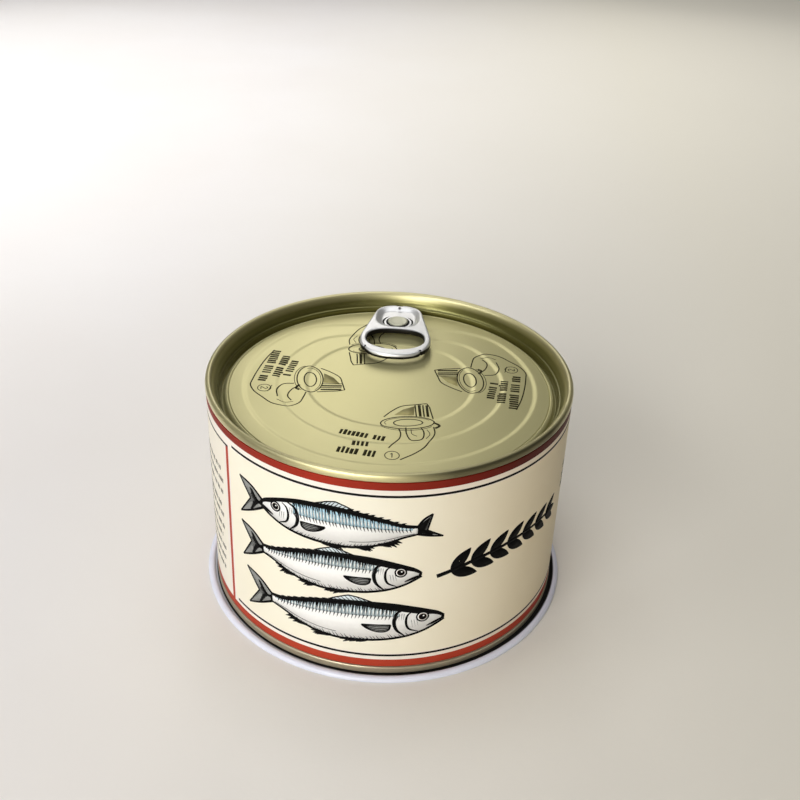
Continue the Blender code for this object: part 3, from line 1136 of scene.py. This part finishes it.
# Fin on the back: parts of the length, and the heights of its skin and of its rays there.
FIN_AT = (0.375, 0.40, 0.478, 0.53, 0.612)
FIN_SKIN, FIN_RAYS = (0.35, 0.75, 1.75, 1.25, 0.0), (0.45, 0.95, 1.85, 1.3, 0.1)
# Fins below: first and last part of the length, and depth.
LOW_FINS = ((0.14, 0.23, 2.6), (0.30, 0.37, 1.8), (0.47, 0.58, 1.5))
# Widths and heights in the drawing are for a body of this length, and grow with it.
FISH_MM = 44.0
FISH_INKS = (
    ("fish_white", (0.93, 0.93, 0.91), 0.03), ("fish_grey", (0.05, 0.052, 0.055), 0.5),
    ("fish_brown", (0.17, 0.10, 0.05), 0.25), ("fish_pale", (0.62, 0.70, 0.72), 0.2),
    ("fish_steel", (0.24, 0.245, 0.235), 0.3), ("fish_slate", (0.36, 0.45, 0.49), 0.3),
)
WHITE, GREY, BROWN, PALE, STEEL, SLATE, BLUE, BLACK = range(8)


def fish(root, nose, seed, tails, band=0.33, spikes=0.4, shade=(0.42, 0.8), blue=SLATE, neck=0.02):
    """One fish as flat shapes in millimetres, each with its layer and ink.

    The body lies between a back line and a belly line given as heights along the axis from
    the root of the tail to the nose. Bands, strokes and fins are placed by parts of the length.
    """
    root, nose = np.asarray(root, float), np.asarray(nose, float)
    axis = nose - root
    long = float(np.hypot(*axis))
    size = long / FISH_MM
    up = left_of(axis) / long
    up *= np.sign(up[1])
    random = np.random.default_rng(seed)
    back_keys, belly_keys = smooth_path(BACK_LINE, 200).T, smooth_path(BELLY_LINE, 200).T
    out = []

    def back(t):
        return np.interp(t, *back_keys) * long

    def belly(t):
        return -np.interp(t, *belly_keys) * long

    def low_edge(t):
        return back(t) * band - 0.15

    def at(t, height):
        t, height = np.broadcast_arrays(np.asarray(t, float), np.asarray(height, float))
        return root + axis * t[..., None] + up * height[..., None]

    def along(first, last, pitch, shake=0.3):
        count = int((last - first) * long / pitch)
        step = (last - first) / count
        return np.linspace(first, last, count) + random.uniform(-shake, shake, count) * step

    def add(shape, layer, ink=BLACK):
        out.append((shape, layer, ink))

    def hatch(t, foot, lean, tip, width, layer, ink=BLACK):
        add(strokes(at(t, foot), at(t + lean, tip), width), layer, ink)

    t = np.linspace(0, 1, 90)
    add(between(at(t, belly(t)), at(t, back(t))), 1, WHITE)
    # The blue band under the back, as far as the gill cover.
    s = np.linspace(0.03, 0.755, 80)
    add(between(at(s, low_edge(s)), at(s, back(s) - 0.3)), 2, blue)
    # Pale scales in it, dark lines between them, teeth along its lower edge.
    s = along(0.05, 0.745, 0.86 * size, 0.12)
    deep = back(s) - low_edge(s)
    hatch(s + 0.011, back(s) - deep * 0.46, -0.005, back(s) - deep * 0.98, 0.42 * size, 3, PALE)
    hatch(s + 0.011, back(s) - deep * 0.62, -0.003, back(s) - deep * 0.9, 0.3 * size, 4, WHITE)
    hatch(s, back(s) - deep * 0.25, -0.006, low_edge(s), 0.24, 4, GREY)
    tooth = (0.65 + 0.5 * np.sin(math.pi * s)) * size * random.uniform(0.8, 1.15, len(s))
    hatch(s, low_edge(s) + 0.3, -0.010, low_edge(s) - tooth, 0.32, 5, GREY)
    # Spiky lower edge of the black back.
    s = along(0.03, 0.755, 0.56 * size)
    deep = (back(s) - low_edge(s)) * random.uniform(*shade, len(s))
    hatch(s, back(s) - 0.4, -0.008, back(s) - 0.4 - deep, 0.46, 5)
    thick = long * (0.013 + 0.016 * np.sin(math.pi * np.clip(t * 1.02, 0, 1)) ** 0.7)
    thick += long * neck * ease((t - 0.5) / 0.22) * ease((1.0 - t) / 0.16)
    add(between(at(t, back(t) - thick), at(t, back(t) + 0.1)), 5)
    # Fine strokes along the belly.
    s = along(0.08, 0.80, 0.85 * size)
    hatch(s, belly(s) + 0.1, -0.018, belly(s) * random.uniform(0.74, 0.86, len(s)), 0.2, 4, GREY)
    s = np.linspace(0.02, 0.40, 40)
    add(ribbon(at(s, belly(s) * 0.70), 0.13), 4, GREY)
    # The outline.
    add(ribbon(at(t, belly(t)), 0.52 + 0.16 * np.sin(math.pi * t)), 6)
    add(ribbon(at(t, back(t)), 0.5), 6)
    # Head: gill cover, cheek, mouth and eye.
    for keys, width in GILL_LINES:
        place = np.array([[u, back(u) * v if v > 0 else -belly(u) * v] for u, v in keys])
        add(curve(at(*place.T), width, 30, True), 5)
    s = along(0.752, 0.778, 0.3 * size, 0.1)
    hatch(s, back(s) * 0.5, -0.004, back(s) * 0.1, 0.12, 5, GREY)
    s = along(0.815, 0.845, 0.4 * size, 0.1)
    hatch(s, back(s) * 0.1, 0.008, belly(s) * 0.45, 0.10, 5, GREY)
    eye = at(0.878, 1.15 * size)
    add(spot(eye, 1.42 * size), 6, WHITE)
    add(ribbon(oval(eye, 1.42 * size, 1.42 * size), 0.42), 7)
    add(spot(eye, 1.0 * size), 7, BROWN)
    add(spot(eye, 0.9 * size), 8)
    add(spot(eye + np.array([0.22, 0.28]) * size, 0.22 * size, count=9), 9, WHITE)
    for keys, width in MOUTH_LINES:
        part, height = np.transpose(keys)
        add(curve(at(part, height * size), width, 12, True), 6)
    s = np.linspace(0.9, 0.985, 12)
    add(ribbon(at(s, back(s) * 0.72 - 0.1), 0.6), 5)
    add(spot(at(0.992, 0.05), 0.42 * size, 0.5 * size), 7)
    for tips in tails:
        out += tail_fin(*np.asarray(tips, float), size)
    # Fin on the back: rays that lean to the tail, and small spikes behind it.
    s = np.linspace(FIN_AT[0], FIN_AT[-1], 30)
    ridge = np.interp(s, FIN_AT, FIN_SKIN) * size
    add(between(at(s, back(s) - 0.2), at(s, back(s) + ridge)), 2, PALE)
    add(ribbon(at(s, back(s) + ridge), 0.34), 4)
    s = np.linspace(0.42, 0.60, 9)
    reach = np.interp(s - 0.03, FIN_AT, FIN_RAYS) * size
    hatch(s, back(s), -0.034, back(s - 0.034) + reach, 0.26, 4)
    s = along(0.10, 0.40, 1.5 * size, 0.2)
    hatch(s, back(s), -0.030, back(s - 0.03) + spikes * size, 0.6, 3)
    # Fin at the side: a leaf, pointed towards the tail and blunt towards the gill cover.
    u = np.linspace(0, 1, 24)
    top = at(0.545 + 0.158 * u, (-0.75 - 0.10 * u) * size)
    low = top - up * (2.2 * size * (u**0.75 * (1 - u) ** 0.38 / 0.485))[:, None]
    add(between(low, top), 4, STEEL)
    for rib in part_way(low, top, (0.25, 0.5, 0.75)):
        add(ribbon(rib, 0.27), 5)
    add(ribbon(low, 0.42), 6)
    add(ribbon(top, 0.42), 6)
    # Fins below: dark spikes that lean to the tail.
    for first, last, drop in LOW_FINS:
        s = np.linspace(first, last, 7)
        reach = random.uniform(0.35, 1.0, len(s)) * np.sin(math.pi * np.linspace(0.25, 0.8, len(s)))
        fall = drop * size * reach
        hatch(s, belly(s) + 0.2, -0.05, belly(s - 0.05) - fall, 0.95, 3)
    return out


def tail_fin(root, upper, lower, notch, size):
    """A forked tail: two lobes bowed outwards in front, straight behind, with rays and a black edge."""
    out = []
    u = np.linspace(0, 1, 16)[:, None]
    for tip, rise, bow in ((upper, 1.0, 0.10), (lower, -1.0, 0.02)):
        foot = root + np.array([0.0, rise * 1.2 * size])
        span = tip - foot
        outwards = left_of(span) / np.hypot(*span)
        outwards *= np.sign(outwards[1]) * rise
        front = foot + span * u + outwards * bow * np.hypot(*span) * np.sin(math.pi * u) ** 1.2
        trailing = notch + (tip - notch) * u
        rays = strokes(
            foot + (root - foot) * np.linspace(0.1, 1, 11)[:, None],
            tip + (notch - tip) * np.linspace(0.08, 1, 11)[:, None], 0.5)
        out += [
            (between(even(np.vstack([root, notch, tip]), 16), front), 2, STEEL), (rays, 3, BLACK),
            (ribbon(front, 0.72 - 0.3 * u[:, 0]), 5, BLACK), (ribbon(trailing, 0.42), 5, BLACK),
        ]
    return out


class TIN_OT_fish(bpy.types.Operator):
    """Three fish printed on the front of the label"""

    bl_idname = "tin.fish"
    bl_label = "Fish"

    def execute(self, context):
        inks = [ink_material(name, tone, 0.5, vary) for name, tone, vary in FISH_INKS]
        inks += [ink_material("fish_blue", chosen("blue"), 0.5, 0.3), black_ink()]
        sheets = fish((11.0, -16.8), (-31.8, -17.6), 3, (
            ((11.0, -16.8), (14.6, -12.0), (17.6, -19.3), (13.4, -16.9)),
            ((-31.0, -17.8), (-39.8, -13.0), (-40.0, -24.6), (-35.6, -18.2)),
        ), band=0.2, spikes=0.75, shade=(0.2, 0.5), blue=BLUE, neck=0.0)
        sheets += fish((-31.4, -32.5), (12.6, -31.0), 5, (
            ((-31.4, -32.5), (-40.0, -27.6), (-40.0, -39.3), (-36.0, -32.6)),))
        sheets += fish((-28.9, -48.2), (19.4, -46.6), 8, (
            ((-28.9, -48.2), (-38.5, -42.5), (-38.3, -55.3), (-33.8, -48.4)),))
        print_piece("label_fish", sheets, on_label, inks, "label_paper")
        return {"FINISHED"}


# ---------------------------------------------------------------- sprig and small print


# The stem of the sprig beside the fish, a leaf's length and width, and its turn from the stem in degrees.
STEM_MM = ((16.6, -32.4), (27.0, -29.8), (41.0, -28.4), (55.0, -28.6))
LEAF_MM = np.array([8.2, 3.5])
LEAF_TURN = 34.0
# Lines of small print left of the fish: height and right end.
LEFT_PRINT_MM = (
    (-18.6, -50.4), (-22.2, -49.9), (-26.2, -50.8), (-31.4, -52.6), (-34.5, -51.0),
    (-38.8, -51.4), (-42.4, -53.0), (-46.2, -51.0), (-50.0, -50.9), (-53.8, -52.4),
)


def leaf(base, turn, size):
    """A filled leaf: half its width at each point is a bent sine of the part of its length."""
    u = np.linspace(0, 1, 20)
    along = compass(turn)
    middle = base + along * (size[0] * u)[:, None]
    half = left_of(along) * (size[1] / 2 * np.sin(math.pi * u**0.85) ** 0.8)[:, None]
    return between(middle - half, middle + half)


def sprig():
    """Leaves in pairs along a curved stem, with one at its end, as flat shapes."""
    stem = smooth_path(STEM_MM, 61)
    way = np.gradient(stem, axis=0)
    turns = np.arctan2(way[:, 1], way[:, 0])
    out = [ribbon(stem, np.linspace(1.3, 0.8, 61))]
    for n, i in enumerate(range(6, 61, 9)):
        for side in (1, -1):
            out.append(leaf(stem[i], turns[i] + side * math.radians(LEAF_TURN), LEAF_MM * (1.0 - 0.03 * n)))
    return [*out, leaf(stem[-1] - 0.4, turns[-1], LEAF_MM * 0.85)]


class TIN_OT_ornament(bpy.types.Operator):
    """Bold black sprig of leaves beside the fish, and rows of small print as plain bars"""

    bl_idname = "tin.ornament"
    bl_label = "Ornament and small print"

    def execute(self, context):
        grey = ink_material("label_small_print", (0.06, 0.055, 0.04), 0.5)
        sheets = [(shape, 1, 0) for shape in sprig()]
        for n, (y, last) in enumerate(LEFT_PRINT_MM):
            sheets.append((blocks((-79.0, y + 0.8), (last, y), 1.5, n, 0.62, 0.68), 1, 1))
        for n, y in enumerate(np.arange(-20.0, -52.0, -3.9)):
            sheets.append((blocks((91.0, y), (128.0 - 3 * (n % 3), y), 1.15, 30 + n, 0.62, 0.62), 1, 1))
        for n, y in enumerate(np.arange(-14.0, -56.0, -3.9)):
            sheets.append((blocks((-128.0, y), (-92.0 - 2 * (n % 4), y), 1.15, 60 + n, 0.62, 0.62), 1, 1))
        for n, y in enumerate((-21.5, -24.8, -28.1)):
            sheets.append((blocks((68.0, y), (79.0 - n, y), 1.7, 90 + n, 1.1, 0.62), 1, 0))
        print_piece("label_ornament", sheets, on_label, [black_ink(), grey], "label_paper")
        return {"FINISHED"}


# ---------------------------------------------------------------- print on the lid


# Line drawings on the lid, in their own axes along the rim and inwards to the lid's middle.
THIN, FINE = 0.36, 0.2
DIGITS = {
    1: ((-0.45, 0.5), (0.0, 0.95), (0.0, 0.3), (0.0, -0.95)),
    2: ((-0.6, 0.5), (-0.1, 0.95), (0.5, 0.6), (0.1, -0.1), (-0.55, -0.85), (0.65, -0.85)),
}
TIN_LINES = (
    (THIN, (-6.4, 2.6), (-4.4, 5.6), (-1.6, 8.4), (2.0, 9.4), (5.2, 10.2)),
    (THIN, (6.9, 2.6), (6.4, 5.5), (5.9, 8.4), (5.2, 10.2)),
)
# Upright bars on the drawn tin: left edge and width.
TIN_BARS = ((2.2, 0.35), (3.1, 0.75), (4.3, 0.4), (5.2, 0.7))
# Both drawings: how much taller the lid is, the hand's lines, the finger's tip, the number's
# place, and rows of bars as ends and height.
DRAWINGS = {
    1: (0.0, (
        (THIN, (-2.2, -3.4), (-1.7, -5.6), (-1.9, -7.7), (-3.4, -10.4), (-4.7, -12.9)),
        (THIN, (7.0, -1.8), (7.3, -4.8), (5.9, -8.9), (4.4, -12.2), (2.4, -14.6), (-1.6, -18.0)),
        (THIN, (-0.4, -2.6), (-0.1, -5.8), (1.2, -8.6), (3.6, -8.2), (4.4, -4.6), (3.6, -2.2)),
        (FINE, (1.0, -3.4), (1.4, -5.8), (2.6, -6.6)),
        (FINE, (5.2, -3.2), (6.0, -5.4), (5.0, -7.6)),
    ), ((7.0, 0.4), (8.6, -1.2), (7.4, -2.4)), (-3.7, -16.2), (
        ((-18.2, -15.4), (-8.1, -17.3), 1.8),
        ((-14.4, -12.1), (-9.3, -12.6), 1.6),
        ((-18.2, -6.6), (-5.7, -9.6), 1.6),
    )),
    2: (0.5, (
        (THIN, (7.4, -0.4), (10.2, -0.9), (13.2, -1.7), (15.2, -4.2), (14.5, -8.6), (11.2, -12.2),
         (7.6, -15.2), (4.6, -16.3), (2.2, -16.1), (-4.0, -15.2), (-11.0, -13.6), (-15.6, -12.0)),
        (THIN, (4.0, -2.8), (6.6, -4.6), (10.2, -5.2), (12.2, -4.0)),
        (THIN, (3.0, -4.2), (3.6, -7.2), (6.6, -8.6), (10.6, -8.0)),
        (FINE, (12.8, -3.4), (13.4, -5.8), (12.2, -8.0)),
        (FINE, (4.8, -10.2), (8.2, -11.0)),
    ), ((3.6, -2.6), (5.6, -3.4), (6.4, -2.4)), (6.4, -12.2), (
        ((-15.6, -12.4), (2.2, -14.6), 1.7),
        ((-12.6, -9.1), (0.4, -11.0), 1.6),
        ((-10.2, -6.2), (-1.0, -8.0), 1.5),
    )),
}


def icon(origin, degrees, number):
    """A line drawing of a tin being opened: lid, tin block with bars, hand, number and bars for words.

    Its own axes point along the rim, at an angle in degrees, and inwards to the lid's middle.
    """
    along = compass(math.radians(degrees))
    inward = left_of(along)
    taller, hand, tip, where, words = DRAWINGS[number]

    def at(points):
        points = np.asarray(points, float)
        return np.asarray(origin) + points[..., :1] * along + points[..., 1:] * inward

    lines = [
        ribbon(at(oval((0, 0), 7.2, 3.2 + taller, 6)), THIN),
        ribbon(at(oval((0.2, 0.1), 3.9, 1.75, 6)), THIN),
        ribbon(at(oval((0.1, 0.3), 6.2, 2.4 + taller * 0.8, 6, 20, 200)), 0.18),
        ribbon(at(oval((0.0, -0.55), 7.3, 3.4 + taller, 6, 190, 330)), FINE),
    ]
    lines += [curve(at(keys), width) for width, *keys in TIN_LINES + hand]
    for x, w in TIN_BARS:
        left = at([(x, 3.5), (x - 0.2, 6.2), (x - 0.4, 9.2)])
        right = at([(x + w, 3.4), (x + w - 0.2, 6.2), (x + w - 0.4, 9.4)])
        lines.append(between(left, right))
    shapes = [(line, 1, 0) for line in lines]
    shapes.append((between(at([(-3.6, 3.7), (-1.4, 6.6)]), at([(1.7, 4.0), (1.9, 8.6)])), 1, 1))
    shapes.append((curve(at(tip), 0.7), 1, 0))
    digit = at(np.add(DIGITS[number], where))
    fine = even(digit, 24) if number == 1 else smooth_path(digit, 24)
    shapes += [(ribbon(oval(at(where), 1.85, 1.85), 0.24), 1, 0), (ribbon(fine, 0.26), 1, 0)]
    for n, (first, last, tall) in enumerate(words):
        shapes.append((blocks(at(first), at(last), tall * 1.6, 7 * n + number, 1.15, 0.72), 1, 0))
    return shapes


class TIN_OT_lid_print(bpy.types.Operator):
    """Thin dark line drawings and bars printed on the lid's panel"""

    bl_idname = "tin.lid_print"
    bl_label = "Lid print"

    def execute(self, context):
        dark = ink_material("lid_ink", (0.022, 0.019, 0.006), 0.6, 0.4)
        pale = ink_material("lid_ink_pale", (0.30, 0.27, 0.12), 0.45, 0.3)
        sheets = icon((6.1, -18.5), 2.4, 1) + icon((-22.8, 1.4), -87.6, 2) + icon((22.8, 6.0), 92.4, 2)
        # The drawing under the ring pull has no words, number or shade, and one bar fewer.
        sheets += icon((-6.6, 21.4), 182.4, 1)[:14]
        print_piece("lid_print", sheets, on_lid, [dark, pale], "gold_lacquer")
        return {"FINISHED"}


# ---------------------------------------------------------------- lower seam, plastic lid, drum


class TIN_OT_lower_parts(bpy.types.Operator):
    """Lower rolled seam, the white plastic lid under the tin, and the drum's finish"""

    bl_idname = "tin.lower_parts"
    bl_label = "Lower seam and plastic lid"

    def execute(self, context):
        seam = loft(turned(below_top(smooth_path(LOWER_SEAM_MM, 110))))
        tinplate = gold_material("seam_tinplate", gold=LOWER_GOLD, metallic=0.7, rough=0.32)
        put("lower_seam", [(*seam, 0)], [tinplate], "bottom_end", slot="gold_lacquer")

        rim = np.clip(smooth_path(BASE_RIM_MM, 110), 0.0, np.max(BASE_RIM_MM, axis=0))
        shell = loft(turned(rim * MM))
        put("plastic_lid", [(*shell, 0)], [plastic_material()], "base_cap", slot="white_plastic")

        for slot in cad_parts["tin_body"].material_slots:
            slot.material = gold_material()
        return {"FINISHED"}


# ---------------------------------------------------------------- stage


COOL, WARM, AMBER, PLAIN = (0.98, 0.99, 1.0), (1.0, 0.97, 0.92), (1.0, 0.86, 0.68), (1.0, 1.0, 1.0)
# Lights: name, angle round from the front, height angle, distance, width, height, power setting
# and its share, colour, and whether the metal mirrors it.
LIGHTS = (
    ("key", -15, 19, 0.65, 0.22, 0.24, "key_power", 1.0, WARM, True),
    ("front_left", -34, 38, 0.65, 0.17, 0.15, "side_power", 1.0, COOL, True),
    ("left", -65, 39, 0.65, 0.24, 0.22, "side_power", 0.52, COOL, True),
    ("pale_card", -171.5, 32, 0.95, 0.22, 0.36, "card_power", 1.0, WARM, True),
    ("left_card", -140, 32, 0.95, 0.18, 0.36, "wall_power", 0.06, COOL, True),
    ("low_left", -150, 14, 0.95, 0.30, 0.20, "wall_power", 0.65, COOL, False),
    ("low_right", 166, 14, 0.95, 0.34, 0.20, "wall_power", 0.2, WARM, False),
    ("right", 95, 30, 0.80, 0.40, 0.30, "wall_power", 0.12, AMBER, False),
    ("wash_left", -118, 55, 0.95, 0.40, 0.30, "wash_power", 1.35, COOL, False),
    ("wash_back", 178, 62, 1.25, 0.60, 0.40, "wash_power", 1.5, COOL, False),
    ("backdrop", 180, 75, 1.6, 1.4, 1.0, "backdrop_power", 1.0, PLAIN, True),
)
# What some of them light instead of the tin, and how widely, in degrees.
AIMS = {
    "wash_left": ((-0.42, 0.36, 0.0), 70),
    "wash_back": ((0.12, 0.70, 0.0), 75),
    "backdrop": ((0.0, 1.0, 0.0), 180),
}
TIN_MIDDLE = (0.0, 0.0, 0.03)
# The camera: its place, the angles round and up that it looks from, its roll, and its sensor's width.
CAMERA_PLACE = (0.01363, -0.25106, 0.20980)
CAMERA_DEG, CAMERA_ROLL_DEG = (2.4, 31.383), 2.263
SENSOR = 36.0
FLOOR_HALF = 4.0


def floor_material():
    """Pale matt board: warm white with soft clouds and a fine tooth, warmer towards the right as painted warm
    light.
    """
    pale = chosen("floor")
    material, tree = fresh("pale_floor")
    cloud, grain, height = placed(tree, mottle_group(), 7.0, 900.0, 0.2, 0.8)
    mottled = blended(cloud, pale, tinted(pale, (0.965, 0.955, 0.94)))
    # Painted warm light: the board is warmer towards the right.
    painted_warm_light = spread(xyz(tree)[0], -0.12, 0.16)
    return dress(material, (height, 0.15, 0.0002), {
        "Base Color": blended(painted_warm_light, mottled, tinted(pale, (1.0, 0.985, 0.87))),
        "Roughness": grain * 0.1 + 0.55,
    })


def bearing(azimuth, elevation):
    """The direction at an angle round from the front and a height angle, in degrees."""
    a, e = math.radians(azimuth), math.radians(elevation)
    return np.array([math.sin(a) * math.cos(e), -math.cos(a) * math.cos(e), math.sin(e)])


def facing(place, back, roll=0.0):
    """The matrix of a lamp or camera that turns its back to a direction, rolled by an angle in degrees."""
    level = unit(np.array([-back[1], back[0], 0.0]))
    upright = np.cross(back, level)
    cosine, sine = compass(math.radians(roll))
    matrix = np.identity(4)
    axes = (cosine * level + sine * upright, cosine * upright - sine * level, back, place)
    matrix[:3] = np.column_stack(axes)
    return Matrix(matrix.tolist())


def soft_light(name, azimuth, elevation, distance, width, height, power, tone, mirrored):
    """A rectangular light, placed by its angles and its distance from the tin's middle.

    One that isn't mirrored lights the surfaces but doesn't show in the metal.
    """
    place = bearing(azimuth, elevation) * distance + TIN_MIDDLE
    aim, cone = AIMS.get(name, (TIN_MIDDLE, 180))
    data = bpy.data.lights.new(name, "AREA")
    data.shape, data.size, data.size_y = "RECTANGLE", width, height
    data.energy, data.color, data.spread = power, tone, math.radians(cone)
    lamp = shown(name, data)
    lamp.matrix_world = facing(place, unit(place - aim))
    lamp.visible_camera = False
    lamp.visible_glossy = mirrored


def room_light(strength):
    """World light: a dim warm room, brighter overhead than near the horizon."""
    world = bpy.data.worlds.new("pale_room")
    world.use_nodes = True
    tree = world.node_tree
    ground = tree.nodes["Background"]
    way = node(tree, "ShaderNodeTexCoord").outputs["Generated"]
    overhead = node(tree, "ShaderNodeVectorMath", {0: way, 1: (-0.15, 0.0, 0.99)}, operation="DOT_PRODUCT")
    bright = spread(Value(overhead.outputs["Value"]), 0.45, 0.95)
    join(ground.inputs["Color"], blended(bright, (0.62, 0.56, 0.47), (1.6, 1.55, 1.45)))
    join(ground.inputs["Strength"], strength)
    bpy.context.scene.world = world


class TIN_OT_stage(bpy.types.Operator):
    """Pale floor, soft lights and the camera"""

    bl_idname = "tin.stage"
    bl_label = "Stage"

    def execute(self, context):
        stage = context.scene.tin_stage
        mesh = bpy.data.meshes.new("floor")
        corners = [(x * FLOOR_HALF, y * FLOOR_HALF, 0) for x, y in ((-1, -1), (1, -1), (1, 1), (-1, 1))]
        mesh.from_pydata(corners, [], [(0, 1, 2, 3)])
        mesh.materials.append(floor_material())
        floor = shown("floor", mesh)

        for name, *place, setting, share, tone, mirrored in LIGHTS:
            soft_light(name, *place, getattr(stage, setting) * share, tone, mirrored)
        room_light(stage.room)

        data = bpy.data.cameras.new("camera")
        data.lens, data.sensor_width = stage.lens, SENSOR
        data.clip_start, data.clip_end = 0.01, 50.0
        camera = shown("camera", data)
        camera.matrix_world = facing(CAMERA_PLACE, bearing(*CAMERA_DEG), CAMERA_ROLL_DEG)
        context.scene.camera = camera
        context.scene.view_settings.view_transform = "Standard"
        return {"FINISHED"}


# ---------------------------------------------------------------- panel and registration


OPERATORS = (
    TIN_OT_stage, TIN_OT_lid, TIN_OT_ring_pull, TIN_OT_label, TIN_OT_fish, TIN_OT_ornament,
    TIN_OT_lid_print, TIN_OT_lower_parts,
)


class TIN_PT_sidebar(bpy.types.Panel):
    """Buttons and settings of the tin"""

    bl_idname = "TIN_PT_sidebar"
    bl_label = "Ring-pull food tin"
    bl_space_type = "VIEW_3D"
    bl_region_type = "UI"
    bl_category = "Tin"

    def draw(self, context):
        for settings in (context.scene.tin_sizes, context.scene.tin_colours, context.scene.tin_stage):
            box = self.layout.box()
            for name in settings.bl_rna.properties.keys():
                if name not in {"rna_type", "name"}:
                    box.prop(settings, name)
        for operator in OPERATORS:
            self.layout.operator(operator.bl_idname)


CLASSES = (TinSizes, TinColours, StageSettings, *OPERATORS, TIN_PT_sidebar)


def register():
    """Registers the classes and puts the settings on the scene"""
    for item in CLASSES:
        bpy.utils.register_class(item)
    bpy.types.Scene.tin_sizes = bpy.props.PointerProperty(type=TinSizes)
    bpy.types.Scene.tin_colours = bpy.props.PointerProperty(type=TinColours)
    bpy.types.Scene.tin_stage = bpy.props.PointerProperty(type=StageSettings)


def unregister():
    """Takes the settings off the scene and unregisters the classes"""
    del bpy.types.Scene.tin_sizes, bpy.types.Scene.tin_colours, bpy.types.Scene.tin_stage
    for item in reversed(CLASSES):
        bpy.utils.unregister_class(item)


def main():
    register()
    bpy.ops.tin.stage()
    bpy.ops.tin.lid()
    bpy.ops.tin.ring_pull()
    bpy.ops.tin.label()
    bpy.ops.tin.fish()
    bpy.ops.tin.ornament()
    bpy.ops.tin.lid_print()
    bpy.ops.tin.lower_parts()


if __name__ == "__main__":
    main()
